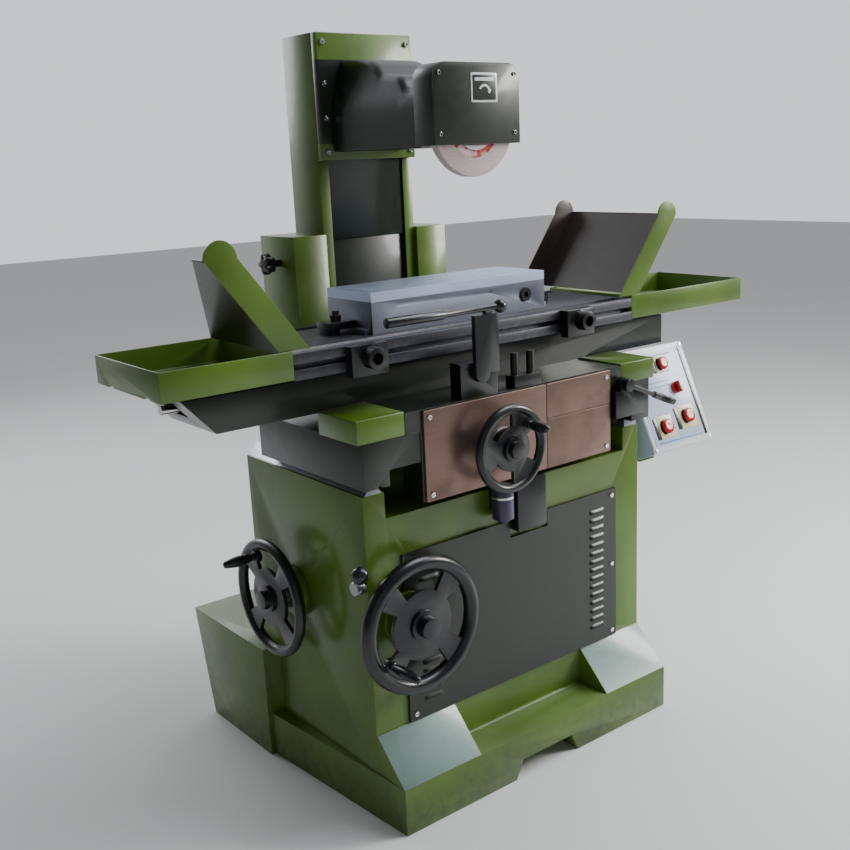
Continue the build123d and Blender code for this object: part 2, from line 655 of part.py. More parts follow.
CYLINDER_Y = (BEAM_FRONT + BEAM_REAR) / 2
CYLINDER_Z = 838.0
CYLINDER_R = 24.0
PISTON_ROD_R = 8.0
CYLINDER_HALF = 285.0
TABLE_MID = (TABLE_LEFT + TABLE_RIGHT) / 2


def piston_rod():
    """Rod fixed in both ends of the beam, with the piston in its middle."""
    at = (CYLINDER_Y, CYLINDER_Z)
    bar = rod("x", BEAM_LEFT + 1, BEAM_RIGHT - 1, at, PISTON_ROD_R)
    middle = PISTON_X
    piston = rod("x", middle - 10, middle + 10, at, CYLINDER_BORE - RUN)
    return bar + piston


PISTON_X = TABLE_MID
CYLINDER_BORE = 18.0


def table_cylinder():
    """Cylinder hung under the table; it slides along the fixed rod and piston."""
    at = (CYLINDER_Y, CYLINDER_Z)
    low = PISTON_X - TABLE_TRAVEL_RIGHT - 24
    high = PISTON_X + TABLE_TRAVEL_LEFT + 24
    barrel = rod("x", low, high, at, CYLINDER_R)
    barrel -= rod("x", low + 10, high - 10, at, CYLINDER_BORE)
    barrel -= rod("x", low - 1, high + 1, at, PISTON_ROD_R + RUN)
    lugs = [
        block((x - 12, x + 12), (CYLINDER_Y - 14, CYLINDER_Y + 14),
              (CYLINDER_Z + CYLINDER_R - 4, TABLE_LOW))
        - rod("x", x - 13, x + 13, at, CYLINDER_R - 1)
        for x in (low + 30, high - 30)
    ]
    return barrel + lugs


def apron_plate():
    """Brushed plate over the front of the saddle's box."""
    rear = SADDLE_FRONT
    plate = block((-APRON_HALF, APRON_HALF), (rear - APRON_PLATE, rear), (APRON_LOW, APRON_TOP - 9))
    return plate - rod("y", rear - APRON_PLATE - 1, rear + 1, (CROSS_X, CROSS_Z),
                       CROSS_SCREW_R + 4)


def apron_screws():
    """Four screws in the corners of the apron plate."""
    inset = 13
    return [
        screw_head("y", (x, SADDLE_FRONT - APRON_PLATE, z), -1, 5, 3)
        for x in (inset - APRON_HALF, APRON_HALF - inset)
        for z in (APRON_LOW + inset, APRON_TOP - 9 - inset)
    ]


def saddle_covers():
    """Pressed covers over the left and right shoes, open underneath at the table side."""
    covers = []
    for side in (-1, 1):
        x = sorted((side * COVER_INNER, side * COVER_HALF))
        shell = block(x, (SADDLE_FRONT, BEAM_FRONT - GAP), (COVER_LOW - 2, COVER_TOP))
        room = block((x[0] + 3, x[1] - 3), (SADDLE_FRONT + 3, BEAM_FRONT),
                     (COVER_LOW - 3, COVER_TOP - 3))
        covers.append(shell - room)
    return covers


def control_valves():
    """Reversing valve and two plungers in front of the table, speed valve on the right."""
    low, high = VALVE_Y
    reversing = block((VALVE_X - 46, VALVE_X + 46), VALVE_Y, (BEAM_LOW + 1, VALVE_TOP))
    reversing -= rod("y", low - 1, low + 20, (VALVE_X, LEVER_Z), LEVER_PIN_R + RUN)
    plungers = block((VALVE_X + 90, VALVE_X + 162), (low, high - 4), (BEAM_LOW + 1, BEAM_LOW + 24))
    for x in (VALVE_X + 104, VALVE_X + 146):
        plungers += rod("z", BEAM_LOW + 20, VALVE_TOP, (x, (low + high) / 2), 8)
    shelf_front = SADDLE_FRONT + 3
    speed = block((SPEED_X - 31, SPEED_X + 55), (SPEED_FRONT, shelf_front),
                  (SPEED_Z - 70, SPEED_Z - 12))
    speed += block((SPEED_X - 15, SPEED_X + 15), (SPEED_FRONT, SADDLE_FRONT - GAP),
                   (SPEED_Z - 13, SPEED_Z))
    speed += rod("y", SPEED_FRONT, SADDLE_FRONT - GAP, (SPEED_X, SPEED_Z), 15)
    speed -= rod("y", SPEED_FRONT - 1, SPEED_FRONT + 12, (SPEED_X, SPEED_Z), LEVER_PIN_R + RUN)
    return [reversing, plungers, speed]


APRON_FRONT = SADDLE_FRONT - APRON_PLATE
VALVE_X = -105.0
VALVE_Y = (-317.0, -286.0)
VALVE_TOP = 868.0
LEVER_Z = 846.0
LEVER_PIN_R = 6.0
SPEED_X = 287.0
SPEED_Z = 762.0
SPEED_FRONT = SADDLE_FRONT - 15
SPEED_REACH = 153.0
SPEED_DROP = radians(-22.7)


def reversing_lever():
    """Trip post on its pin, with the long hand lever and its knob across the top."""
    front = VALVE_Y[0] - GAP
    pin = rod("y", front - 10, VALVE_Y[0] + 16, (VALVE_X, LEVER_Z), LEVER_PIN_R)
    boss = rod("y", front - 12, front, (VALVE_X, LEVER_Z), 17)
    post = block((VALVE_X - 17, VALVE_X + 41), (front - 12, front - 2), (LEVER_Z, TABLE_TOP + 34))
    y = front - 7
    bar = rod("x", VALVE_X - 90, VALVE_X + 48, (y, TABLE_TOP + 45), 6)
    post += block((VALVE_X + 10, VALVE_X + 26), (front - 12, front - 2),
                  (TABLE_TOP + 30, TABLE_TOP + 45))
    handle = rod("x", VALVE_X - 215, VALVE_X - 89, (y, TABLE_TOP + 45), 9)
    knob = Pos(VALVE_X + 50, y, TABLE_TOP + 45) * Sphere(13)
    return pin + boss + post + bar + handle + knob


def throttle_lever():
    """Speed lever on the valve at the right of the apron."""
    front = SPEED_FRONT - GAP
    at = (SPEED_X, SPEED_Z)
    pin = rod("y", front - 8, SPEED_FRONT + 10, at, LEVER_PIN_R)
    boss = rod("y", front - 12, front, at, 14)
    arm = Pos(SPEED_X, front - 6, SPEED_Z) * Rot(0, 90 - degrees(SPEED_DROP), 0) * Pos(
        0, 0, SPEED_REACH / 2) * Cylinder(5, SPEED_REACH)
    tip = (SPEED_X + SPEED_REACH * cos(SPEED_DROP), SPEED_Z + SPEED_REACH * sin(SPEED_DROP))
    ball = Pos(tip[0], front - 6, tip[1]) * Sphere(9)
    return pin + boss + arm + ball


# ---- handwheels ----
def handwheel(rim_r, tube_r, hub_r, hub_long, bore, windows=4):
    """Dished wheel about Y at the origin: round rim, web with kidney windows, hub to the front."""
    rim = Rot(90, 0, 0) * Torus(rim_r - tube_r, tube_r)
    web_r = rim_r - 1.6 * tube_r
    web = rod("y", -4, 4, (0, 0), web_r)
    near = rim_r * WINDOW_SHARE
    for i in range(windows):
        middle = 2 * pi * i / windows
        cut = tube("y", -5, 5, (0, 0), web_r - 5, near)
        spread = radians(31)
        far = 2 * rim_r
        wedge = prism("y", [(0, 0), (far * cos(middle - spread), far * sin(middle - spread)),
                            (far * cos(middle + spread), far * sin(middle + spread))], -6, 6)
        web -= cut & wedge
    hub = rod("y", -12, 14, (0, 0), hub_r) + rod("y", -hub_long, -11, (0, 0), hub_r * 0.7)
    return rim + web + hub - rod("y", -hub_long + 6, 15, (0, 0), bore)


def grip(long):
    """Turned handle about Y, from the wheel's face towards the operator, with its pin."""
    body = rod("y", -long, -6 - GAP, (0, 0), GRIP_R)
    body += Pos(0, -long, 0) * Sphere(GRIP_R)
    pin = rod("y", -12, 3, (0, 0), 5)
    return body + pin


WINDOW_SHARE = 0.5    # where the web's windows start, as a share of the rim's radius
FEED_BOSS_R = 32.0
GRIP_TURN = radians(217)
SIDE_GRIP_TURN = radians(120)
CROSS_GRIP_TURN = radians(45)
GRIP_R = 11.0


def feed_wheel_at(part):
    return Pos(FEED_WHEEL_X, FEED_WHEEL_Y, FEED_Z) * part


def side_wheel_at(part):
    """Turns a wheel about Y to face left and sets it on the side shaft."""
    return Pos(SIDE_WHEEL_X, SIDE_WHEEL_Y, FEED_Z) * Rot(0, 0, -90) * part


def grip_out(rim_r, tube_r):
    """How far from the wheel's axis its grip stands, clear of the rim."""
    return rim_r - 2 * tube_r - GRIP_R


def wheel_with_grip_seat(wheel, out, turn):
    """The wheel with a boss and a running hole for its grip's pin."""
    at = (out * cos(turn), out * sin(turn))
    return wheel + rod("y", -6, 6, at, 13) - rod("y", -20, 20, at, 5 + RUN)


def grip_at(long, out, turn):
    return Pos(out * cos(turn), 0, out * sin(turn)) * grip(long)


FEED_TUBE_R = 15.0
SIDE_TUBE_R = 11.0
CROSS_TUBE_R = 9.0
FEED_OUT = grip_out(FEED_WHEEL_R, FEED_TUBE_R)
SIDE_OUT = grip_out(SIDE_WHEEL_R, SIDE_TUBE_R)
CROSS_OUT_R = grip_out(CROSS_WHEEL_R, CROSS_TUBE_R)


def vertical_handwheel():
    wheel = handwheel(FEED_WHEEL_R, FEED_TUBE_R, 30, 32, FEED_SHAFT_R)
    return feed_wheel_at(wheel_with_grip_seat(wheel, FEED_OUT, GRIP_TURN))


def vertical_grip():
    return feed_wheel_at(grip_at(78, FEED_OUT, GRIP_TURN))


def side_handwheel():
    wheel = handwheel(SIDE_WHEEL_R, SIDE_TUBE_R, 28, 24, FEED_SHAFT_R)
    return side_wheel_at(wheel_with_grip_seat(wheel, SIDE_OUT, SIDE_GRIP_TURN))


def side_grip():
    return side_wheel_at(grip_at(66, SIDE_OUT, SIDE_GRIP_TURN))


def cross_handwheel():
    """Cross-feed wheel with its dial ring behind the web."""
    wheel = handwheel(CROSS_WHEEL_R, CROSS_TUBE_R, 24, 22, CROSS_SCREW_R, windows=3)
    wheel = wheel_with_grip_seat(wheel, CROSS_OUT_R, CROSS_GRIP_TURN)
    dial = tube("y", 8, 34, (0, 0), 38, CROSS_SCREW_R)
    return Pos(CROSS_X, CROSS_WHEEL_Y, CROSS_Z) * (wheel + dial)


def cross_grip():
    return Pos(CROSS_X, CROSS_WHEEL_Y, CROSS_Z) * grip_at(52, CROSS_OUT_R, CROSS_GRIP_TURN)


def cross_screw():
    """Cross-feed screw: it turns in the saddle's front wall and runs through the fixed nut."""
    at = (CROSS_X, CROSS_Z)
    collar = rod("y", SADDLE_FRONT + 14 + GAP, SADDLE_FRONT + 24, at, 18)
    return rod("y", CROSS_WHEEL_Y - 16, CROSS_SCREW_END, at, CROSS_SCREW_R) + collar


CROSS_SCREW_END = 20.0
NUT_Y = (-225.0, -185.0)


def cross_nut():
    """Nut on its post in the base's well."""
    low, high = NUT_Y
    nut = rod("y", low, high, (CROSS_X, CROSS_Z), 22)
    foot = block((CROSS_X - 22, CROSS_X + 22), NUT_Y, (CROSS_Z - 30, CROSS_Z - 6))
    return nut + foot - rod("y", low - 1, high + 1, (CROSS_X, CROSS_Z), CROSS_SCREW_R + RUN)


def mitre(axis, at_small, at_large, centre):
    """Gear blank: a cone that narrows from its back face towards the crossing point."""
    small = MITRE_R - MITRE_LONG
    toward = 1 if at_small > at_large else -1
    cone = Cone(MITRE_R, small, MITRE_LONG)
    turn = {"x": Rot(0, 90 * toward, 0), "y": Rot(-90 * toward, 0, 0),
            "z": Rot(0 if toward > 0 else 180, 0, 0)}[axis]
    middle = (at_small + at_large) / 2
    place = {"x": (middle, *centre), "y": (centre[0], middle, centre[1]),
             "z": (*centre, middle)}[axis]
    return Pos(*place) * turn * cone


def mitre_on(axis, crossing, side, centre):
    """Mitre blank on a shaft, whose cone points at the crossing from one side."""
    back = crossing + side * (MITRE_R + GAP)
    front = crossing + side * (MITRE_R + GAP - MITRE_LONG)
    return mitre(axis, front, back, centre)


TRANSFER_HANGERS = (30.0, 90.0)
LIFT_CROSSING_Z = FEED_Z


def vertical_shaft():
    """Shaft of the front wheel, with the mitre gear that drives the side shaft."""
    at = (FEED_WHEEL_X, FEED_Z)
    shaft = rod("y", FEED_WHEEL_Y - 26, SIDE_WHEEL_Y - MITRE_R - GAP, at, FEED_SHAFT_R)
    return shaft + mitre_on("y", SIDE_WHEEL_Y, -1, at)


def side_shaft():
    """Cross shaft from the side wheel to the middle, with a mitre gear for each neighbour."""
    at = (SIDE_WHEEL_Y, FEED_Z)
    shaft = rod("x", SIDE_WHEEL_X - 18, -MITRE_R - GAP, at, FEED_SHAFT_R)
    return shaft + mitre_on("x", FEED_WHEEL_X, 1, at) + mitre_on("x", 0, -1, at)


def transfer_shaft():
    """Shaft from the side shaft back to the elevating screw."""
    at = (0, FEED_Z)
    shaft = rod("y", SIDE_WHEEL_Y + MITRE_R + GAP, LIFT_Y - MITRE_R - GAP, at, FEED_SHAFT_R)
    return shaft + mitre_on("y", SIDE_WHEEL_Y, 1, at) + mitre_on("y", LIFT_Y, -1, at)


def elevating_screw():
    """Upright screw inside the column, from its foot bearing to above the nut."""
    at = (0, LIFT_Y)
    foot = COLUMN_FOOT + COLUMN_WALL + GAP
    screw = rod("z", foot, COLUMN_TOP - 2 * COLUMN_WALL - 10, at, LIFT_SCREW_R)
    pivot = rod("z", COLUMN_FOOT - WALL + 2, foot + 1, at, LIFT_SCREW_R - 3 - RUN)
    return screw + pivot + mitre_on("z", FEED_Z, 1, at)


def shaft_bearings():
    """Flanged bearings of the front and side feed shafts."""
    front = tube("y", BODY_FRONT - 24, BODY_FRONT + WALL + 20, (FEED_WHEEL_X, FEED_Z),
                 FEED_BOSS_R, FEED_SHAFT_R + RUN)
    front += tube("y", BODY_FRONT - 12, BODY_FRONT, (FEED_WHEEL_X, FEED_Z), FEED_BOSS_R + 20,
                  FEED_SHAFT_R + RUN)
    side = tube("x", -BODY_HALF - 24, WALL - BODY_HALF + 12, (SIDE_WHEEL_Y, FEED_Z),
                FEED_BOSS_R, FEED_SHAFT_R + RUN)
    side += tube("x", -BODY_HALF - 12, -BODY_HALF, (SIDE_WHEEL_Y, FEED_Z), FEED_BOSS_R + 20,
                 FEED_SHAFT_R + RUN)
    return [front, side]


# ---- table and what stands on it ----
def slot_outline(z, mouth, deep, wide, tall):
    """T slot cut into the table's front face, as points of (y, z)."""
    face = TABLE_FRONT
    return [(face - 1, z - mouth), (face + deep, z - mouth), (face + deep, z - wide),
            (face + deep + tall, z - wide), (face + deep + tall, z + wide),
            (face + deep, z + wide), (face + deep, z + mouth), (face - 1, z + mouth)]


def table():
    plate = block((TABLE_LEFT, TABLE_RIGHT), (TABLE_FRONT, TABLE_REAR), (TABLE_LOW, TABLE_TOP))
    plate -= prism("x", slot_outline(SLOT_Z, 5, 8, 9, 7), TABLE_LEFT - 1, TABLE_RIGHT + 1)
    for low, high in ((TABLE_FRONT + 16, TABLE_FRONT + 40), (TABLE_REAR - 34, TABLE_REAR - 10)):
        plate -= block((TABLE_LEFT + 12, TABLE_RIGHT - 12), (low, high),
                       (TABLE_TOP - 12, TABLE_TOP + 1))
    rails = [
        block((TABLE_LEFT - 1, TABLE_RIGHT + 1), (y - GAP, y + 20 + GAP),
              (TABLE_LOW - 1, BEAM_TOP + 14 + GAP))
        for y in (BEAM_FRONT + 4, BEAM_REAR - 24)
    ]
    for rail in rails:
        plate -= rail
    return plate


def end_trays():
    """Open sheet trays that carry the coolant off both ends of the table."""
    trays = []
    for inner, outer in ((TABLE_LEFT, TABLE_LEFT - LEFT_TRAY), (TABLE_RIGHT, TABLE_RIGHT + RIGHT_TRAY)):
        x = sorted((inner, outer))
        tray = block(x, (TABLE_FRONT, TABLE_REAR), (TABLE_LOW + 2, TABLE_TOP + 6))
        tray -= block((x[0] + TRAY_SHEET, x[1] - TRAY_SHEET),
                      (TABLE_FRONT + TRAY_SHEET, TABLE_REAR - TRAY_SHEET),
                      (TABLE_LOW + 5 + TRAY_SHEET, TABLE_TOP + 7))
        rail_room = [
            block((x[0] - 1, x[1] + 1), (y - 1, y + 21), (TABLE_LOW + 1, BEAM_TOP + 14 + GAP))
            for y in (BEAM_FRONT + 4, BEAM_REAR - 24)
        ]
        trays.append(tray - rail_room)
    return trays


def lean_strip(side, inner_low, wide, y_low, y_high):
    """Slab leaning outwards between the tray's rim and the guard's top, as an x-z section."""
    low, high = TABLE_TOP + 6, TABLE_TOP + 6 + GUARD_RISE
    outline = [(inner_low, low), (inner_low + wide, low),
               (inner_low + wide + GUARD_LEAN, high), (inner_low + GUARD_LEAN, high)]
    if side < 0:
        outline = mirrored(outline)
    return prism("y", outline, y_low, y_high)


RIGHT_GUARD_IN = 380.0
LEFT_GUARD_IN = 420.0
RIGHT_GUARD_REAR = 95.0


def splash_guards():
    """Right guard: back sheet between two rims. Left guard: front rim and a cut-away back."""
    sheet = GUARD_SHEET
    guards = []
    y0 = TABLE_FRONT + sheet
    right = lean_strip(1, RIGHT_GUARD_IN + GUARD_RIM - sheet, sheet, y0, RIGHT_GUARD_REAR)
    right += lean_strip(1, RIGHT_GUARD_IN, GUARD_RIM, y0, y0 + sheet)
    right += lean_strip(1, RIGHT_GUARD_IN, GUARD_RIM, RIGHT_GUARD_REAR - sheet, RIGHT_GUARD_REAR)
    right += rim_end(1, RIGHT_GUARD_IN, y0, sheet)
    right += rim_end(1, RIGHT_GUARD_IN, RIGHT_GUARD_REAR - sheet, sheet)
    guards.append(right)
    left = lean_strip(-1, LEFT_GUARD_IN + GUARD_RIM - sheet, sheet, y0, TABLE_REAR - 4)
    cut_low, cut_high = TABLE_TOP + 6, TABLE_TOP + 6 + GUARD_RISE
    left -= prism("x", [(TABLE_REAR - 4, cut_low), (TABLE_REAR + 200, cut_low),
                        (TABLE_REAR + 200, cut_high + 1), (y0 + 40, cut_high + 1)], -900, -100)
    left += lean_strip(-1, LEFT_GUARD_IN, GUARD_RIM, y0, y0 + sheet)
    left += rim_end(-1, LEFT_GUARD_IN, y0, sheet)
    guards.append(left)
    return guards


def rim_end(side, inner_low, y, sheet):
    """Rounded top of a guard's rim."""
    r = GUARD_RIM / 2
    x = side * (inner_low + GUARD_LEAN + r)
    z = TABLE_TOP + 6 + GUARD_RISE
    disc = rod("y", y, y + sheet, (x, z), r)
    return disc & block((x - r, x + r), (y - 1, y + sheet + 1), (z - 1, z + r))


def chuck_body():
    """Chuck case with side ledges for its clamps and a bore for the switching shaft."""
    x = (CHUCK_MID - CHUCK_LONG / 2, CHUCK_MID + CHUCK_LONG / 2)
    y = (CHUCK_FRONT, CHUCK_FRONT + CHUCK_DEEP)
    top = TABLE_TOP + CHUCK_HIGH - CHUCK_PLATE
    case = block(x, y, (TABLE_TOP, top))
    ledge = block((x[0] - 12, x[1] + 12), (y[0] + 8, y[1] - 8), (TABLE_TOP, TABLE_TOP + 10))
    groove_cut = [
        block((x[0] + 60, x[1] - 150), (yy - 1, yy + 7), (top - 14, top - 6))
        for yy in (y[0] - 6,)
    ]
    case = case + ledge - groove_cut
    case -= block((x[0] + 12, x[1] - 12), (y[0] + 26, y[1] - 12), (TABLE_TOP + 12, top - 10))
    return case - rod("y", y[0] - 1, y[0] + 40, (CAM_X, CAM_Z), CAM_R + RUN)


CAM_X = 150.0
CAM_Z = TABLE_TOP + 34.0
CAM_R = 14.0


def chuck_cam():
    """Switching shaft with a square key socket in its face."""
    y = CHUCK_FRONT
    cam = rod("y", y - 3, y + 38, (CAM_X, CAM_Z), CAM_R)
    return cam - block((CAM_X - 5, CAM_X + 5), (y - 4, y + 9), (CAM_Z - 5, CAM_Z + 5))


def chuck_plate():
    """Top plate with its cross pole lines cut half a millimetre deep."""
    x = (CHUCK_MID - CHUCK_LONG / 2, CHUCK_MID + CHUCK_LONG / 2)
    y = (CHUCK_FRONT, CHUCK_FRONT + CHUCK_DEEP)
    top = TABLE_TOP + CHUCK_HIGH
    plate = block(x, y, (top - CHUCK_PLATE, top))
    pitch = CHUCK_LONG / (POLES + 1)
    for i in range(1, POLES + 1):
        at = x[0] + pitch * i
        plate -= block((at - 0.8, at + 0.8), (y[0] + 8, y[1] - 8), (top - 0.5, top + 1))
    return plate


def chuck_clamps():
    """Two straps with studs and nuts hold the chuck's end ledges down."""
    clamps = []
    for side in (-1, 1):
        edge = CHUCK_MID + side * (CHUCK_LONG / 2 + 1)
        out = edge + side * 62
        x = sorted((edge, out))
        mid_y = CHUCK_FRONT + CHUCK_DEEP / 2
        strap = block(x, (mid_y - 22, mid_y + 22), (TABLE_TOP + 10, TABLE_TOP + 24))
        heel = block(sorted((out - side * 16, out)), (mid_y - 22, mid_y + 22),
                     (TABLE_TOP, TABLE_TOP + 11))
        stud_x = edge + side * 32
        stud = rod("z", TABLE_TOP, TABLE_TOP + 44, (stud_x, mid_y), 7)
        nut = Pos(stud_x, mid_y, TABLE_TOP + 30) * extrude(RegularPolygon(12, 6), amount=12)
        nut = Pos(0, 0, -6) * nut
        clamps.append(strap + heel + stud + nut)
    return clamps


DOG_HALF = 40.0
LEFT_DOG_X = -310.0
RIGHT_DOG_X = 233.0


def dog(x):
    """Trip dog: a shoe in the table's T slot, a block in front of it and a clamp knob."""
    face = TABLE_FRONT
    shoe = block((x - DOG_HALF, x + DOG_HALF), (face + 8 + GAP, face + 15 - GAP),
                 (SLOT_Z - 9 + GAP, SLOT_Z + 9 - GAP))
    neck = block((x - DOG_HALF, x + DOG_HALF), (face - 1, face + 9),
                 (SLOT_Z - 5 + GAP, SLOT_Z + 5 - GAP))
    front = block((x - DOG_HALF, x + DOG_HALF), (face - 22, face - GAP),
                  (SLOT_Z - 33, SLOT_Z + 24))
    knob = rod("y", face - 46, face - 22, (x, SLOT_Z), 20)
    return shoe + neck + front + knob


# ---- drive pack in the base ----
def power_pack():
    """Oil tank on the base floor, with the pump motor and the gear pump on its lid."""
    y = (-60.0, 100.0)
    tank = block((60, 330), y, (FLOOR, FLOOR + 150))
    tank -= block((64, 326), (y[0] + 4, y[1] - 4), (FLOOR + 4, FLOOR + 146))
    lid = FLOOR + 150
    foot = block((95, 205), (-10, 60), (lid, lid + 30))
    motor = rod("x", 80, 220, (25, lid + 90), 65) + foot
    pump_foot = block((238, 300), (0, 50), (lid, lid + 60))
    pump = rod("x", 232, 306, (25, lid + 90), 40) + pump_foot
    link = rod("x", 219, 233, (25, lid + 90), 12)
    return [tank, motor + link, pump]


# ---- control panel ----
def on_panel(part):
    """Moves a part from panel axes (x right, y down the face, z out of it) to its place."""
    y, z = PANEL_TOP
    return Pos(PANEL_LEFT, y, z) * Rot(-90 - PANEL_TILT, 0, 0) * part


def panel_point(u, v, out):
    """World place of a point on the panel: u across, v down its face, out of its face."""
    a = radians(PANEL_TILT)
    y, z = PANEL_TOP
    return (PANEL_LEFT + u, y - v * sin(a) - out * cos(a), z - v * cos(a) + out * sin(a))


def panel_solid(u, v, out):
    """Box in panel coordinates, set in place."""
    a = block(u, (-v[1], -v[0]), out)
    y, z = PANEL_TOP
    return Pos(PANEL_LEFT, y, z) * Rot(90 - PANEL_TILT, 0, 0) * a


def panel_pin(u, v, start, stop, r):
    """Cylinder along the panel's normal."""
    y, z = PANEL_TOP
    pin = Pos(u, -v, (start + stop) / 2) * Cylinder(r, stop - start)
    return Pos(PANEL_LEFT, y, z) * Rot(90 - PANEL_TILT, 0, 0) * pin


BUTTONS = {
    "upper_button": (112.0, 44.0, 15.0),
    "left_button": (62.0, 188.0, 17.0),
    "right_button": (142.0, 176.0, 17.0),
}
SELECTOR = (134.0, 106.0, 14.0)
STEM_R = 8.0


def panel_housing():
    """Sheet box behind the panel's face, open at the back where its cover would go."""
    box = panel_solid((0, PANEL_WIDE), (0, PANEL_HIGH), (-PANEL_DEEP, 0))
    box -= panel_solid((3, PANEL_WIDE - 3), (3, PANEL_HIGH - 3), (3 - PANEL_DEEP, -3))
    for u, v, _ in [*BUTTONS.values(), SELECTOR]:
        box -= panel_pin(u, v, -4, 1, STEM_R + RUN)
    return box


def panel_arm():
    """Welded arm from the base's right side to the panel's housing."""
    arm = block((BODY_HALF, PANEL_LEFT + 60), (ARM_Y - 20, ARM_Y + 20), (ARM_Z - 20, ARM_Z + 20))
    plate = block((BODY_HALF, BODY_HALF + 8), (ARM_Y - 40, ARM_Y + 40), (ARM_Z - 50, 645))
    post = block((PANEL_LEFT + 10, PANEL_LEFT + 60), (ARM_Y - 70, ARM_Y + 20), (ARM_Z - 20, 700))
    post -= panel_solid((-10, PANEL_WIDE), (-100, PANEL_HIGH + 100), (-PANEL_DEEP, 90))
    return arm + plate + post


ARM_Y = -190.0
ARM_Z = 570.0


def button(name):
    """Mushroom button on its stem."""
    u, v, r = BUTTONS[name]
    head = panel_pin(u, v, BUTTON_TRAVEL + 1, BUTTON_TRAVEL + 11, r)
    stem = panel_pin(u, v, -10, BUTTON_TRAVEL + 2, STEM_R)
    return head + stem


def selector_knob():
    u, v, r = SELECTOR
    base = panel_pin(u, v, GAP, 8, r)
    stem = panel_pin(u, v, -10, 1, STEM_R)
    bar = panel_solid((u - 4, u + 4), (v - r, v + r), (7, 20))
    return base + stem + bar


def side_lever():
    """Ball lever on the left side of the base, near its front edge."""
    at = (LEVER_SIDE_Y, LEVER_SIDE_Z)
    face = -BODY_HALF
    boss = rod("x", face - 22, face - GAP, at, 14)
    reach = 46.0
    lean = radians(128)
    tip = (at[0] + reach * cos(lean), at[1] + reach * sin(lean))
    arm = Pos(face - 16, *at) * Rot(degrees(lean) - 90, 0, 0) * Pos(0, 0, reach / 2) * Cylinder(
        5, reach)
    ball = Pos(face - 24, *tip) * Rot(0, 90, 0) * Sphere(17)
    return boss + arm + ball


LEVER_SIDE_Y = -278.0
LEVER_SIDE_Z = 480.0

NODES = {
    "base_casting": base_casting,
    "front_door": front_door,
    "cover_screws": cover_screws,
    "column": column,
    "lower_way_cover": lower_way_cover,
    "limit_box": limit_box,
    "pilot_cylinder": pilot_cylinder,
    "panel_housing": panel_housing,
    "panel_arm": panel_arm,
    "power_pack": power_pack,
    "shaft_bearings": shaft_bearings,
    "cross_nut": cross_nut,
    "column_clamp": column_clamp,
    "upper_button": lambda: button("upper_button"),
    "left_button": lambda: button("left_button"),
    "right_button": lambda: button("right_button"),
    "selector_knob": selector_knob,
    "side_lever": side_lever,
    "vertical_handwheel": vertical_handwheel,
    "vertical_shaft": vertical_shaft,
    "vertical_grip": vertical_grip,
    "side_handwheel": side_handwheel,
    "side_shaft": side_shaft,
    "side_grip": side_grip,
    "transfer_shaft": transfer_shaft,
    "elevating_screw": elevating_screw,
    "head_slide": head_slide,
    "head_casting": head_casting,
    "feed_nut": feed_nut,
    "upper_way_cover": upper_way_cover,
    "wheel_guard": wheel_guard,
    "guard_cover": guard_cover,
    "spindle_motor": spindle_motor,
    "spindle_bearings": spindle_bearings,
    "drive_belt": drive_belt,
    "motor_rotor": motor_rotor,
    "spindle": spindle,
    "wheel_flanges": wheel_flanges,
    "grinding_wheel": grinding_wheel,
    "saddle_casting": saddle_casting,
    "apron_plate": apron_plate,
    "apron_screws": apron_screws,
    "saddle_covers": saddle_covers,
    "piston_rod": piston_rod,
    "control_valves": control_valves,
    "reversing_lever": reversing_lever,
    "throttle_lever": throttle_lever,
    "cross_handwheel": cross_handwheel,
    "cross_screw": cross_screw,
    "cross_grip": cross_grip,
    "table": table,
    "table_cylinder": table_cylinder,
    "end_trays": end_trays,
    "splash_guards": splash_guards,
    "chuck_body": chuck_body,
    "chuck_plate": chuck_plate,
    "chuck_clamps": chuck_clamps,
    "chuck_cam": chuck_cam,
    "left_dog": lambda: dog(LEFT_DOG_X),
    "right_dog": lambda: dog(RIGHT_DOG_X),
}


def main():
    os.makedirs("parts", exist_ok=True)
    for name, make in NODES.items():
        made = make()
        pieces = made if isinstance(made, list) else [made]
        solids = [solid for piece in pieces for solid in piece.solids()]
        whole = solids[0] if len(solids) == 1 else Compound(solids)
        export_step(whole, f"parts/{name}.step")


main()
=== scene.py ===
"""Surface grinder: the finished look of each piece, laid out as an add-on.

All places are in metres in the machine's own frame: +X right along the table, +Y away from
the operator, +Z up, origin on the floor under the machine.
"""
import json
from math import cos, hypot, pi, radians, sin

import bmesh
import bpy
import numpy as np
from bpy.props import FloatProperty, FloatVectorProperty, PointerProperty
from mathutils import Matrix, Vector


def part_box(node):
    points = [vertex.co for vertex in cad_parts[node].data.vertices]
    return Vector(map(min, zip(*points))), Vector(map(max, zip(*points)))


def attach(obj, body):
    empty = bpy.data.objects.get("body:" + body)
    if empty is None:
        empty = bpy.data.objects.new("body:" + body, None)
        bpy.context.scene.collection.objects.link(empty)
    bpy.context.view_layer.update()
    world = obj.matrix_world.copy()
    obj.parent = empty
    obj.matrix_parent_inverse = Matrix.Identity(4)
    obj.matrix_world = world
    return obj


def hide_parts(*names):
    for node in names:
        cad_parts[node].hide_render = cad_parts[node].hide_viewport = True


bl_info = {
    "name": "Surface Grinder",
    "version": (1, 0, 0),
    "blender": (4, 5, 0),
    "location": "3D View > Sidebar > Grinder",
    "description": "Builds the finished pieces of a surface grinder around its frame",
    "category": "Object",
}

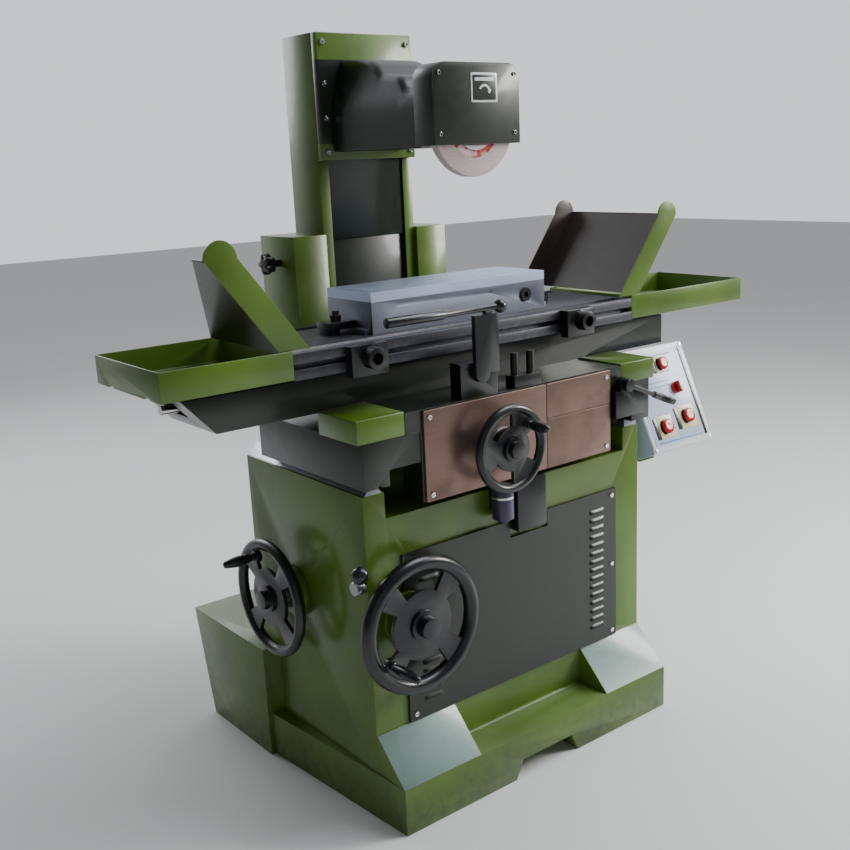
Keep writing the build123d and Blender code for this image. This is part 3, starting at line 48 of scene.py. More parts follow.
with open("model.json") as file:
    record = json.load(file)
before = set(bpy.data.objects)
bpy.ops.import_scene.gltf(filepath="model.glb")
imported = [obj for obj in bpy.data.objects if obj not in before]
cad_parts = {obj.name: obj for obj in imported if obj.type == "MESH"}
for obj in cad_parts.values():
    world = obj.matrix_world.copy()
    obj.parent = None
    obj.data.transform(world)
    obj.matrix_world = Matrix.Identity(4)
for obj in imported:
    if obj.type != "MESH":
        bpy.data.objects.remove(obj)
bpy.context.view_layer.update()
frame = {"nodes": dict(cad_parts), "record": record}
MM = 0.001

# Places of shafts, in mm: the feed shaft's (x, z), the cross shaft's end
FEED_SHAFT = (-290.0, 400.0)
CROSS_SHAFT = (-78.0, -350.0, 702.0)


# ---------------------------------------------------------------- settings
def colour(name, text, default):
    return FloatVectorProperty(
        name=name, description=text, subtype="COLOR", size=3, min=0, max=1, default=default)


def length(name, text, default):
    return FloatProperty(
        name=name, description=text, subtype="DISTANCE", unit="LENGTH", min=0, default=default)


class GrinderColours(bpy.types.PropertyGroup):
    """Paint and plastic colours."""
    light: colour("Light enamel", "Enamel of the castings", (0.088, 0.158, 0.012))
    dark: colour("Dark enamel", "Enamel of door, head and covers", (0.009, 0.015, 0.008))
    black: colour("Black enamel", "Enamel of handwheels and small parts", (0.007, 0.007, 0.009))
    red: colour("Button red", "Plastic of the push buttons", (0.42, 0.012, 0.010))
    panel: colour("Panel face", "Enamel of the control panel", (0.46, 0.53, 0.72))
    # brushed steel plate; its pinkish brown tint is a painted reflection of the light around it
    apron: colour("Apron plate", "Brushed plate of the apron", (0.26, 0.165, 0.135))
    grit: colour("Wheel grit", "Vitrified grit of the wheel", (0.72, 0.60, 0.60))
    floor: colour("Floor", "Pale studio floor", (0.80, 0.80, 0.79))


class GrinderSizes(bpy.types.PropertyGroup):
    """Small sizes that finish the pieces."""
    cast_edge: length("Casting edge", "Rounding of cast edges", 0.0045)
    sheet_edge: length("Sheet edge", "Rounding of sheet and plate edges", 0.0009)
    louvre: length("Louvre height", "How far a louvre stands out of the door", 0.0045)


def colours():
    return bpy.context.scene.grinder_colours


def sizes():
    return bpy.context.scene.grinder_sizes


# ---------------------------------------------------------------- shader maths
class Wire:
    """A value in a shader's node tree, with the arithmetic operators."""

    def __init__(self, shader, socket):
        self.shader = shader
        self.socket = socket

    def math(self, operation, *others):
        return self.shader.add("ShaderNodeMath", {"operation": operation}, self, *others)

    def __add__(self, other):
        return self.math("ADD", other)

    def __radd__(self, other):
        return self.math("ADD", other)

    def __sub__(self, other):
        return self.math("SUBTRACT", other)

    def __rsub__(self, other):
        return self.shader.add("ShaderNodeMath", {"operation": "SUBTRACT"}, other, self)

    def __mul__(self, other):
        return self.math("MULTIPLY", other)

    def __rmul__(self, other):
        return self.math("MULTIPLY", other)

    def __gt__(self, other):
        return self.math("GREATER_THAN", other)

    def __lt__(self, other):
        return self.math("LESS_THAN", other)

    def clamp(self):
        return self.shader.add("ShaderNodeClamp", {}, self)

    def band(self, low, high):
        """Rises smoothly from 0 at low to 1 at high."""
        node = {"interpolation_type": "SMOOTHSTEP"}
        return self.shader.add("ShaderNodeMapRange", node, self, low, high, 0.0, 1.0)


def is_rgb(socket, value):
    """Whether a value of three numbers goes into a colour socket, which takes four."""
    return socket.type == "RGBA" and len(value) == 3


class Shader:
    """A material with a Principled surface, built from named calls."""

    def __init__(self, name):
        self.material = bpy.data.materials.new(name)
        self.material.use_nodes = True
        self.tree = self.material.node_tree
        self.surface = self.tree.nodes["Principled BSDF"]

    def node(self, kind, settings, *inputs, **named):
        """Adds a node of a type with its settings, then the values or links of its sockets."""
        node = self.tree.nodes.new(kind)
        for key, value in settings.items():
            setattr(node, key, value)
        for key, value in [*enumerate(inputs), *named.items()]:
            self.feed(node.inputs[key], value)
        return node

    def feed(self, socket, value):
        """Links a wire to a socket or sets a plain value; None leaves the socket alone."""
        if isinstance(value, Wire):
            self.tree.links.new(value.socket, socket)
        elif value is not None:
            socket.default_value = (*value, 1.0) if is_rgb(socket, value) else value

    def add(self, kind, settings, *inputs, out=0, **named):
        """The same, returning one of the node's outputs."""
        return Wire(self, self.node(kind, settings, *inputs, **named).outputs[out])

    def place(self, scale=(1, 1, 1), centre=(0, 0, 0)):
        """Object coordinates about a centre, stretched along each axis."""
        at = self.add("ShaderNodeTexCoord", {}, out="Object")
        moved = [-c * s for c, s in zip(centre, scale)]
        return self.add("ShaderNodeMapping", {}, at, moved, (0, 0, 0), scale)

    def axes(self, where):
        node = self.node("ShaderNodeSeparateXYZ", {}, where)
        return [Wire(self, output) for output in node.outputs]

    def noise(self, where, scale, detail=3.0):
        return self.add("ShaderNodeTexNoise", {}, Vector=where, Scale=scale, Detail=detail,
                        Roughness=0.55)

    def mix(self, share, first, second):
        """Blend of two colours."""
        return self.add("ShaderNodeMix", {"data_type": "RGBA"}, share, *[None] * 5, first,
                        second, out=2)

    def edges(self, radius):
        """1 on convex and concave edges, 0 on flats, from the turn of the rounded normal."""
        geometry = self.add("ShaderNodeNewGeometry", {}, out="Normal")
        rounded = self.add("ShaderNodeBevel", {"samples": 4}, radius)
        turn = self.add("ShaderNodeVectorMath", {"operation": "DOT_PRODUCT"}, geometry, rounded,
                        out="Value")
        return (1.0 - turn).band(0.03, 0.25)

    def finish(self, base, rough, metal=None, bump=None, depth=0.0005, strength=1.0, **fixed):
        """Sets the surface; bump is a height in units of depth."""
        self.feed(self.surface.inputs["Base Color"], base)
        self.feed(self.surface.inputs["Roughness"], rough)
        self.feed(self.surface.inputs["Metallic"], metal)
        for key, value in fixed.items():
            self.surface.inputs[key.replace("_", " ")].default_value = value
        if bump is not None:
            node = self.node("ShaderNodeBump", {}, Strength=strength, Distance=depth,
                             Height=bump)
            self.tree.links.new(node.outputs[0], self.surface.inputs["Normal"])
        return self.material


def shade(base, amount):
    """A colour made darker or brighter."""
    return tuple(min(1.0, c * amount) for c in base)


DUST = (0.03, 0.028, 0.022)
RUST = (0.10, 0.07, 0.045)
# painted reflection: pale blue-green tint that stands for the sky reflected in faces sloping up
SKY_REFLECTION_TINT = (0.30, 0.42, 0.40)
STEEL = (0.46, 0.48, 0.54)


def enamel(name, base, worn=0.5, rough=0.26, zone=None, other=None, other_metal=0.0,
           pale=None):
    """Machine enamel over filler: slow tone changes, fine orange peel, dust and chipped edges.

    zone(x, y, z) gives a mask where the other colour shows instead, and pale(x, y, z) one
    where a pale tint is painted to stand for the sky reflected in the enamel.
    """
    s = Shader(name)
    base = tuple(base)
    at = s.place()
    slow = s.noise(at, 5.0, 4.0)
    fine = s.noise(at, 48.0, 5.0)
    peel = s.noise(at, 620.0, 2.0)
    tone = s.mix(slow.band(0.3, 0.7), shade(base, 0.78), shade(base, 1.18))
    tone = s.mix(fine.band(0.55, 0.8) * 0.22, tone, shade(base, 0.62))
    x, y, z = s.axes(at)
    grime = (1.0 - z.band(0.0, 0.12)) * fine.band(0.35, 0.65) * 0.5
    tone = s.mix(grime, tone, DUST)
    rub = (s.edges(0.004) * s.noise(at, 30.0, 6.0).band(0.48, 0.66) * worn).clamp()
    tone = s.mix(rub, tone, shade(base, 2.1))
    metal = None
    if pale:
        # painted reflection: the pale sky tint goes where the pale mask says, broken up a little
        # by noise
        tone = s.mix(pale(x, y, z) * (0.72 + fine * 0.4).clamp(), tone, SKY_REFLECTION_TINT)
    if zone:
        mask = zone(x, y, z)
        grain = s.noise(s.place((900, 14, 900)), 1.0, 2.0)
        tone = s.mix(mask, tone, s.mix(grain, shade(other, 0.75), shade(other, 1.2)))
        metal = mask * other_metal
    gloss = rough + fine * 0.16 + rub * 0.3
    height = peel * 0.16 + slow * 0.8 + fine * 0.25
    return s.finish(tone, gloss, metal, height, 0.0009, 0.55, Coat_Weight=0.25,
                    Coat_Roughness=0.12)


def ground(name, base, along, rough=0.3, stain=0.35, metal=0.94):
    """Ground or brushed metal: fine streaks along one axis, stains and rubbed edges."""
    s = Shader(name)
    base = tuple(base)
    stretch = [1500.0, 1500.0, 1500.0]
    stretch["xyz".index(along)] = 16.0
    streak = s.noise(s.place(stretch), 1.0, 3.0)
    at = s.place()
    cloud = s.noise(at, 9.0, 5.0)
    spots = s.noise(at, 120.0, 4.0).band(0.62, 0.8)
    tone = s.mix(streak, shade(base, 0.74), shade(base, 1.16))
    tone = s.mix(cloud.band(0.42, 0.75) * stain, tone, shade(base, 0.42))
    tone = s.mix(spots * stain, tone, RUST)
    tone = s.mix(s.edges(0.0016) * 0.6, tone, shade(base, 1.5))
    gloss = rough + streak * 0.14 + cloud.band(0.4, 0.8) * 0.2
    return s.finish(tone, gloss, metal, streak, 0.0002, 0.35)


def cast(name, base):
    """Scraped cast iron: crossed scraper marks in rows, dark pores."""
    s = Shader(name)
    base = tuple(base)
    at = s.place()
    marks = s.add("ShaderNodeTexVoronoi", {"feature": "F1"}, Vector=s.place((70, 110, 70)),
                  Scale=1.0)
    pores = s.noise(at, 700.0, 2.0)
    slow = s.noise(at, 8.0, 4.0)
    tone = s.mix(marks.band(0.1, 0.7), shade(base, 1.06), shade(base, 0.88))
    tone = s.mix(pores.band(0.6, 0.75) * 0.3, tone, shade(base, 0.5))
    tone = s.mix(slow.band(0.5, 0.8) * 0.3, tone, shade(base, 0.7))
    return s.finish(tone, 0.34 + marks * 0.2, 0.9, marks + pores * 0.2, 0.0002, 0.4)


def plated(name, base, rough=0.1):
    """Polished plating with smudges and tiny scratches."""
    s = Shader(name)
    at = s.place()
    smudge = s.noise(at, 22.0, 5.0)
    lines = s.noise(s.place((2200, 90, 90)), 1.0, 2.0)
    tone = s.mix(smudge.band(0.5, 0.8) * 0.4, tuple(base), shade(base, 0.6))
    return s.finish(tone, rough + smudge * 0.14 + lines * 0.05, 1.0, lines, 0.0001, 0.2)


def plastic(name, base, rough=0.22, speck=0.35):
    """Moulded plastic with a handled, faintly scratched surface."""
    s = Shader(name)
    base = tuple(base)
    at = s.place()
    fine = s.noise(at, 260.0, 4.0)
    slow = s.noise(at, 30.0, 3.0)
    tone = s.mix(slow * speck, base, shade(base, 1.7))
    return s.finish(tone, rough + fine.band(0.4, 0.7) * 0.18, None, fine, 0.0002, 0.25,
                    Coat_Weight=0.2, Coat_Roughness=0.1)


def grit(name, base):
    """Vitrified abrasive: sharp grains, pores between them and a rubbed tint."""
    s = Shader(name)
    base = tuple(base)
    at = s.place()
    grains = s.add("ShaderNodeTexVoronoi", {"feature": "F1"}, Vector=at, Scale=900.0)
    tint = s.noise(at, 18.0, 5.0)
    tone = s.mix(grains.band(0.1, 0.75), shade(base, 1.2), shade(base, 0.72))
    tone = s.mix(tint.band(0.5, 0.72) * 0.5, tone, (0.56, 0.36, 0.36))
    return s.finish(tone, 0.86, None, grains, 0.0006, 0.8)


def blotter_paper(name):
    """Printed paper ring: red with paler fibres and worn patches."""
    s = Shader(name)
    at = s.place()
    fibre = s.noise(s.place((240, 240, 40)), 1.0, 5.0)
    worn = s.noise(at, 46.0, 5.0).band(0.47, 0.6)
    tone = s.mix(fibre.band(0.4, 0.7) * 0.4, (0.44, 0.03, 0.03), (0.62, 0.20, 0.18))
    tone = s.mix(worn * 0.8, tone, (0.72, 0.62, 0.62))
    return s.finish(tone, 0.8, None, fibre, 0.0002, 0.4)


def rubber(name):
    """Ribbed black rubber of the belt."""
    s = Shader(name)
    ribs = s.noise(s.place((60, 900, 60)), 1.0, 2.0)
    tone = s.mix(ribs, (0.012, 0.012, 0.012), (0.04, 0.038, 0.036))
    return s.finish(tone, 0.75, None, ribs, 0.0004, 0.6)


def dial_metal(name, centre, count):
    """Satin ring with engraved graduations round the Y axis through centre."""
    s = Shader(name)
    x, y, z = s.axes(s.place(centre=centre))
    turn = z.math("ARCTAN2", x) * (count / (2 * pi))
    part = (turn.math("FRACT") - 0.5).math("ABSOLUTE")
    line = part > 0.42
    fine = s.noise(s.place((40, 1500, 40)), 1.0, 2.0)
    tone = s.mix(fine, (0.42, 0.42, 0.42), (0.56, 0.56, 0.55))
    tone = s.mix(line, tone, (0.01, 0.01, 0.01))
    return s.finish(tone, 0.3 + fine * 0.15, 0.9, 1.0 - line, 0.0003, 0.6)


def way_zone(x, y, z):
    """Where the base's bed ways are bare: above the body's top and before the column."""
    return (z > 0.6552) * (z < 0.70) * (y < 0.1301)


def pad_zone(x, y, z):
    """The two sloping pad tops: within 1.5 mm of the plane from the foot's front edge.

    The plane rises 82 mm over 83 mm; the pads lie outside x 181.5 mm.
    """
    off = (z - 0.096 - (y + 0.375) * (0.082 / 0.083)).math("ABSOLUTE")
    return (off < 0.0015) * (x.math("ABSOLUTE") > 0.1815) * (y < -0.2935) * (z > 0.0965)


def slide_zone(x, y, z):
    """The dark middle of the head slide, between its two light bands."""
    return (z > 1.279) * (z < 1.449)


def make_finishes():
    """One material for each finish on the machine, by name."""
    c = colours()
    makers = {
        # the base's enamel: bare steel on the ways, painted sky reflection on the pad tops
        "bed enamel": (enamel, c.light, 0.55, 0.26, way_zone, STEEL, 0.95, pad_zone),
        "light enamel": (enamel, c.light, 0.5),
        "dark enamel": (enamel, c.dark, 0.35, 0.3),
        "slide enamel": (enamel, c.light, 0.5, 0.26, slide_zone, tuple(c.dark)),
        "black enamel": (enamel, c.black, 0.6, 0.24),
        "panel enamel": (enamel, c.panel, 0.3, 0.3),
        "brown sheet": (enamel, (0.030, 0.018, 0.014), 0.5, 0.36),
        # brushed steel whose pinkish brown tint is a painted reflection
        "apron plate": (ground, c.apron, "x", 0.26, 0.5, 0.75),
        "ground steel": (ground, STEEL, "x", 0.26),
        "turned steel": (ground, (0.40, 0.41, 0.43), "y", 0.24),
        # painted shade: the chuck body is the chuck plate's steel at about a third the
        # brightness, standing for its shaded front
        "chuck case": (ground, (0.20, 0.215, 0.27), "x", 0.36, 0.3, 0.85),
        # painted reflection: the chuck plate's steel is tinted pale blue to stand for the sky it
        # reflects
        "chuck steel": (ground, (0.52, 0.60, 0.80), "x", 0.32, 0.15),
        "table iron": (cast, (0.105, 0.108, 0.122)),
        "cast iron": (cast, (0.16, 0.16, 0.17)),
        "plating": (plated, (0.66, 0.66, 0.68)),
        "black plastic": (plastic, (0.012, 0.012, 0.013)),
        "red plastic": (plastic, c.red, 0.18, 0.2),
        "cream plastic": (plastic, (0.84, 0.68, 0.36), 0.35, 0.1),
        "white plastic": (plastic, (0.74, 0.77, 0.78), 0.3, 0.1),
        "blue print": (plastic, (0.16, 0.26, 0.52), 0.4, 0.1),
        "abrasive": (grit, c.grit),
        "blotter paper": (blotter_paper,),
        "bronze": (ground, (0.55, 0.36, 0.14), "z", 0.3, 0.4),
        "belt rubber": (rubber,),
        "violet enamel": (enamel, (0.045, 0.030, 0.085), 0.6, 0.24),
        "cross dial": (dial_metal, [place * MM for place in CROSS_SHAFT], 50),
    }
    for name, (maker, *values) in makers.items():
        FINISHES[name] = maker(name, *values)


FINISHES = {}
SLOT_FINISH = {
    "pale_green": "light enamel", "dark_green": "dark enamel", "bare_plate": "apron plate",
    "ground_steel": "ground steel", "sheet_steel": "brown sheet", "cast_iron": "table iron",
    "chrome": "plating", "black_steel": "black enamel", "black_plastic": "black plastic",
    "red_plastic": "red plastic", "panel_enamel": "panel enamel", "bronze": "bronze",
    "abrasive": "abrasive", "belt_rubber": "belt rubber", "purple_band": "violet enamel",
}
NODE_FINISH = {
    "base_casting": "bed enamel", "head_slide": "slide enamel", "chuck_body": "chuck case",
    "chuck_plate": "chuck steel", "spindle": "turned steel", "wheel_flanges": "turned steel",
    "spindle_motor": "cast iron", "vertical_shaft": "turned steel",
}


def node_body(node):
    for body, nodes in frame["record"]["behaviour"]["bodies"].items():
        if node in nodes:
            return body
    raise ValueError(f"no body holds {node}")


def node_slot(node):
    return next(s["material_slot"] for s in frame["record"]["subparts"] if s["node"] == node)


def node_finish(node):
    """The material of a CAD node: its own finish, or that of its slot."""
    return FINISHES[NODE_FINISH.get(node) or SLOT_FINISH[node_slot(node)]]


# ---------------------------------------------------------------- surfaces
def grid(points, wrap_u=False, wrap_v=False):
    """Quads over a (u, v) grid of points; either direction can close on itself."""
    count_u, count_v = points.shape[:2]
    index = np.arange(count_u * count_v).reshape(count_u, count_v)
    if wrap_u:
        index = np.vstack([index, index[:1]])
    if wrap_v:
        index = np.hstack([index, index[:, :1]])
    quads = np.stack([index[:-1, :-1], index[1:, :-1], index[1:, 1:], index[:-1, 1:]], axis=-1)
    return points.reshape(-1, 3), quads.reshape(-1, 4).tolist()


def capped(points):
    """Rings of points (u) that close on themselves (v), with one face over each end."""
    flat, faces = grid(points, wrap_v=True)
    count = points.shape[1]
    last = len(flat) - count
    return flat, faces + [list(range(count))[::-1], list(range(last, last + count))]


def joined(*shapes):
    """Several (points, faces) as one."""
    points, faces, start = [], [], 0
    for p, f in shapes:
        points.append(p)
        faces += [[i + start for i in face] for face in f]
        start += len(p)
    return np.vstack(points), faces


def moved(shape, matrix):
    """The shape under a 4 x 4 matrix."""
    m = np.array(matrix)
    return shape[0] @ m[:3, :3].T + m[:3, 3], shape[1]


def on_axis(axis, u, v, w):
    """Points whose two flat coordinates are u, v and whose place along the axis is w."""
    order = {"x": (w, u, v), "y": (u, w, v), "z": (u, v, w)}[axis]
    return np.stack(np.broadcast_arrays(*order), axis=-1)


def lathe(profile, axis="z", at=(0.0, 0.0), count=48, wave=None, closed=False):
    """Profile of (radius, place along the axis) turned about the axis.

    Point = (r cos t, r sin t, h) for t round the axis; wave(t, r) may change r.
    """
    profile = np.array(profile, float) * MM
    t = np.linspace(0, 2 * pi, count, endpoint=False)[:, None]
    r = profile[None, :, 0] * np.ones_like(t)
    if wave:
        r = wave(t, r)
    place = [c * MM for c in at]
    points = on_axis(axis, place[0] + r * np.cos(t), place[1] + r * np.sin(t),
                     profile[None, :, 1])
    return grid(points, wrap_u=True, wrap_v=closed)


def rounded(points, radius, steps=6):
    """Closed outline whose corners are quadratic curves.

    At a corner P with arms a, b to its neighbours, the curve runs from P + a r to P + b r as
    (1-s)^2 start + 2 s (1-s) P + s^2 end; r is limited to 0.45 of the shorter arm.
    """
    p = np.array(points, float) * MM
    radius = np.broadcast_to(np.array(radius, float) * MM, (len(p),))
    arms = [np.roll(p, 1, 0) - p, np.roll(p, -1, 0) - p]
    reach = [np.linalg.norm(arm, axis=1) for arm in arms]
    cut = np.minimum(radius, 0.45 * np.minimum(*reach))
    ends = [p + arm / long[:, None] * cut[:, None] for arm, long in zip(arms, reach)]
    s = np.linspace(0, 1, steps)[None, :, None]
    start, corner, end = ends[0][:, None], p[:, None], ends[1][:, None]
    curve = (1 - s) ** 2 * start + 2 * s * (1 - s) * corner + s**2 * end
    return curve.reshape(-1, 2)


def inset(outline, distance):
    """Outline moved inwards by each distance: the mitre of its two neighbouring edges."""
    area = np.sum(outline[:, 0] * np.roll(outline[:, 1], -1)
                  - outline[:, 1] * np.roll(outline[:, 0], -1))
    before = outline - np.roll(outline, 1, 0)
    after = np.roll(outline, -1, 0) - outline
    unit = [e / np.maximum(np.linalg.norm(e, axis=1), 1e-9)[:, None] for e in (before, after)]
    normal = [np.stack([-e[:, 1], e[:, 0]], -1) * np.sign(area) for e in unit]
    mitre = (normal[0] + normal[1]) / np.maximum(
        1 + np.sum(normal[0] * normal[1], axis=1), 0.35)[:, None]
    return outline[None] + np.asarray(distance)[:, None, None] * mitre[None]


def slab(outline, low, high, edge=1.0, axis="z"):
    """Outline (metres) carried along an axis from low to high (mm) with rounded rims.

    The rim is a quarter circle: inset e (1 - sin a), height e (1 - cos a), a from 0 to 90.
    """
    a = np.linspace(0, pi / 2, 4)
    e = edge * MM
    near = e * (1 - np.sin(a))
    rise = e * (1 - np.cos(a))
    offset = np.concatenate([near, near[::-1]])
    place = np.concatenate([low * MM + rise, high * MM - rise[::-1]])
    rings = inset(outline, offset)
    points = on_axis(axis, rings[..., 0], rings[..., 1], place[:, None])
    return capped(points)


def plate(x, y, z, axis="z", corner=2.0, edge=1.0):
    """Flat slab between corners, thin along the axis, with round corners in its plane."""
    spans = {"x": (y, z, x), "y": (x, z, y), "z": (x, y, z)}[axis]
    (a0, a1), (b0, b1), (low, high) = spans
    outline = rounded([(a0, b0), (a1, b0), (a1, b1), (a0, b1)], corner)
    return slab(outline, low, high, edge, axis)


def sweep(path, radius, count=16):
    """Round bar along a path of points (mm): circle of the radius across each tangent."""
    path = np.array(path, float) * MM
    radius = np.broadcast_to(np.array(radius, float) * MM, (len(path),))
    along = np.gradient(path, axis=0)
    along /= np.linalg.norm(along, axis=1)[:, None]
    guide = np.array([0.0, 0.0, 1.0]) if abs(along[0, 2]) < 0.8 else np.array([0.0, 1.0, 0.0])
    side = np.cross(along, guide)
    side /= np.linalg.norm(side, axis=1)[:, None]
    up = np.cross(side, along)
    t = np.linspace(0, 2 * pi, count, endpoint=False)
    ring = np.cos(t)[None, :, None] * side[:, None] + np.sin(t)[None, :, None] * up[:, None]
    points = path[:, None] + radius[:, None, None] * ring
    return capped(points)


def ball(radius, at, count):
    """Sphere from a half circle turned about Z."""
    a = np.linspace(-pi / 2, pi / 2, count // 2 + 1)
    profile = np.stack([radius * np.cos(a), radius * np.sin(a)], -1)
    profile[[0, -1], 0] = 0.0
    return moved(lathe(profile, count=count), Matrix.Translation(Vector(at) * MM))


# ---------------------------------------------------------------- pieces
SMOOTH_ANGLE = 38     # degrees between faces above which an edge stays sharp
CAST_ANGLE = 30       # the same, on castings
BEVEL_ANGLE = 32      # above which an edge of a CAD node is rounded


def put(name, data):
    """A new object in the scene."""
    holder = bpy.data.objects.new(name, data)
    bpy.context.scene.collection.objects.link(holder)
    return holder


def smooth_by_angle(mesh, angle):
    mesh.polygons.foreach_set("use_smooth", [True] * len(mesh.polygons))
    mesh.set_sharp_from_angle(angle=radians(angle))


def add_piece(name, shape, finish, body, nodes=(), angle=SMOOTH_ANGLE):
    """A new piece from a shape: merged, facing outwards, riding on its body."""
    mesh = bpy.data.meshes.new(name)
    mesh.from_pydata(shape[0].tolist(), [], shape[1])
    work = bmesh.new()
    work.from_mesh(mesh)
    bmesh.ops.remove_doubles(work, verts=work.verts, dist=1e-7)
    bmesh.ops.recalc_face_normals(work, faces=work.faces)
    work.to_mesh(mesh)
    work.free()
    mesh.materials.append(FINISHES[finish])
    smooth_by_angle(mesh, angle)
    piece = put(name, mesh)
    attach(piece, body)
    if nodes:
        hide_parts(*nodes)
    return piece


def soften(node, width):
    """A copy of a CAD node whose sharp edges are rounded by width, standing for the node."""
    source = frame["nodes"][node]
    mesh = source.data.copy()
    work = bmesh.new()
    work.from_mesh(mesh)
    work.transform(source.matrix_world)
    bmesh.ops.remove_doubles(work, verts=work.verts, dist=2e-6)
    bmesh.ops.dissolve_limit(work, angle_limit=radians(1.0), verts=work.verts, edges=work.edges)
    work.to_mesh(mesh)
    work.free()
    mesh.materials.clear()
    mesh.materials.append(node_finish(node))
    piece = put(node + "_finished", mesh)
    bevel = piece.modifiers.new("edge", "BEVEL")
    bevel.width = width
    bevel.segments = 2
    bevel.limit_method = "ANGLE"
    bevel.angle_limit = radians(BEVEL_ANGLE)
    bevel.use_clamp_overlap = True
    bevel.miter_outer = "MITER_ARC"
    bake_modifiers(piece)
    smooth_by_angle(piece.data, CAST_ANGLE)
    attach(piece, node_body(node))
    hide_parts(node)
    return piece


def bake_modifiers(piece):
    """The piece's evaluated mesh takes the place of its modifiers."""
    graph = bpy.context.evaluated_depsgraph_get()
    made = bpy.data.meshes.new_from_object(piece.evaluated_get(graph))
    made.name = piece.name
    piece.modifiers.clear()
    piece.data = made


def mid(node):
    """Middle of a CAD node's box, in mm."""
    low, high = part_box(node)
    return [(a + b) / 2 / MM for a, b in zip(low, high)]


def across(node, index):
    """The middle's two coordinates across the axis of that index."""
    return [c for i, c in enumerate(mid(node)) if i != index]


def lows(node):
    """Low corner of a CAD node's box, in mm."""
    return [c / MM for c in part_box(node)[0]]


def highs(node):
    """High corner of a CAD node's box, in mm."""
    return [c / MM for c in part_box(node)[1]]


def cap_screw(axis, at, face, out, radius=5.0, high=5.0):
    """Cap screw on a face: round head with a hexagonal socket.

    The socket's radius is a / cos of the angle from the nearest flat's middle.
    """
    r = radius
    profile = [(0, high - 2.6), (r * 0.52, high - 2.6), (r * 0.52, high), (r * 0.86, high),
               (r, high - r * 0.14), (r, -0.4), (0, -0.4)]
    profile = [(a, face + out * b) for a, b in profile]

    def hexagon(t, radii):
        flat = np.mod(t, pi / 3) - pi / 6
        inner = radii[:, 1:2] / np.cos(flat) * 0.92
        radii = radii.copy()
        radii[:, 1:3] = inner
        return radii

    return lathe(profile, axis, at, 24, hexagon)


def handle(out_long, radius):
    """Turned handle profile (radius, place): collar, waist, swelling and round end."""
    s = np.linspace(0, 1, 18)
    swell = radius * (0.62 + 0.38 * np.sin(pi * (0.12 + 0.78 * s)) ** 1.5)
    body = np.stack([swell, 8 + (out_long - 8) * s], -1)
    end = np.linspace(0, pi / 2, 6)[1:]
    cap = np.stack([swell[-1] * np.cos(end), out_long + swell[-1] * 0.8 * np.sin(end)], -1)
    cap[-1, 0] = 0.0
    collar = [(0, 0), (radius * 0.72, 0), (radius * 0.72, 5), (radius * 0.5, 7)]
    return np.vstack([collar, body, cap])


class Piece:
    """Shared part of the operators: each builds one group of pieces."""
    bl_options = {"REGISTER", "UNDO"}

    def execute(self, context):
        self.build()
        return {"FINISHED"}


class GRINDER_OT_finishes(Piece, bpy.types.Operator):
    """Makes every finish and gives each CAD node the one of its slot"""
    bl_idname = "grinder.finishes"
    bl_label = "Finishes"

    def build(self):
        make_finishes()
        for name, node in frame["nodes"].items():
            node.data.materials.clear()
            node.data.materials.append(node_finish(name))


class GRINDER_OT_castings(Piece, bpy.types.Operator):
    """Rounds the edges of the castings, plates and sheet boxes"""
    bl_idname = "grinder.castings"
    bl_label = "Castings"

    def build(self):
        cast, sheet = sizes().cast_edge, sizes().sheet_edge
        widths = {
            "base_casting": cast, "saddle_casting": cast * 0.7, "column": cast * 0.6,
            "head_slide": cast * 0.5, "saddle_covers": 0.0026, "table": 0.0008,
            "end_trays": sheet, "panel_housing": 0.0016, "panel_arm": 0.003,
            "chuck_body": 0.001, "limit_box": 0.0012,
            "control_valves": 0.0016, "wheel_guard": sheet, "guard_cover": 0.0012,
            "upper_way_cover": sheet, "lower_way_cover": sheet, "left_dog": 0.0015,
            "right_dog": 0.0015, "chuck_clamps": 0.0012, "vertical_handwheel": 0.0014,
            "side_handwheel": 0.0014, "cross_handwheel": 0.0012, "power_pack": 0.002,
            "shaft_bearings": 0.0016, "reversing_lever": 0.0008, "pilot_cylinder": 0.0015,
        }
        for node, width in widths.items():
            soften(node, width)


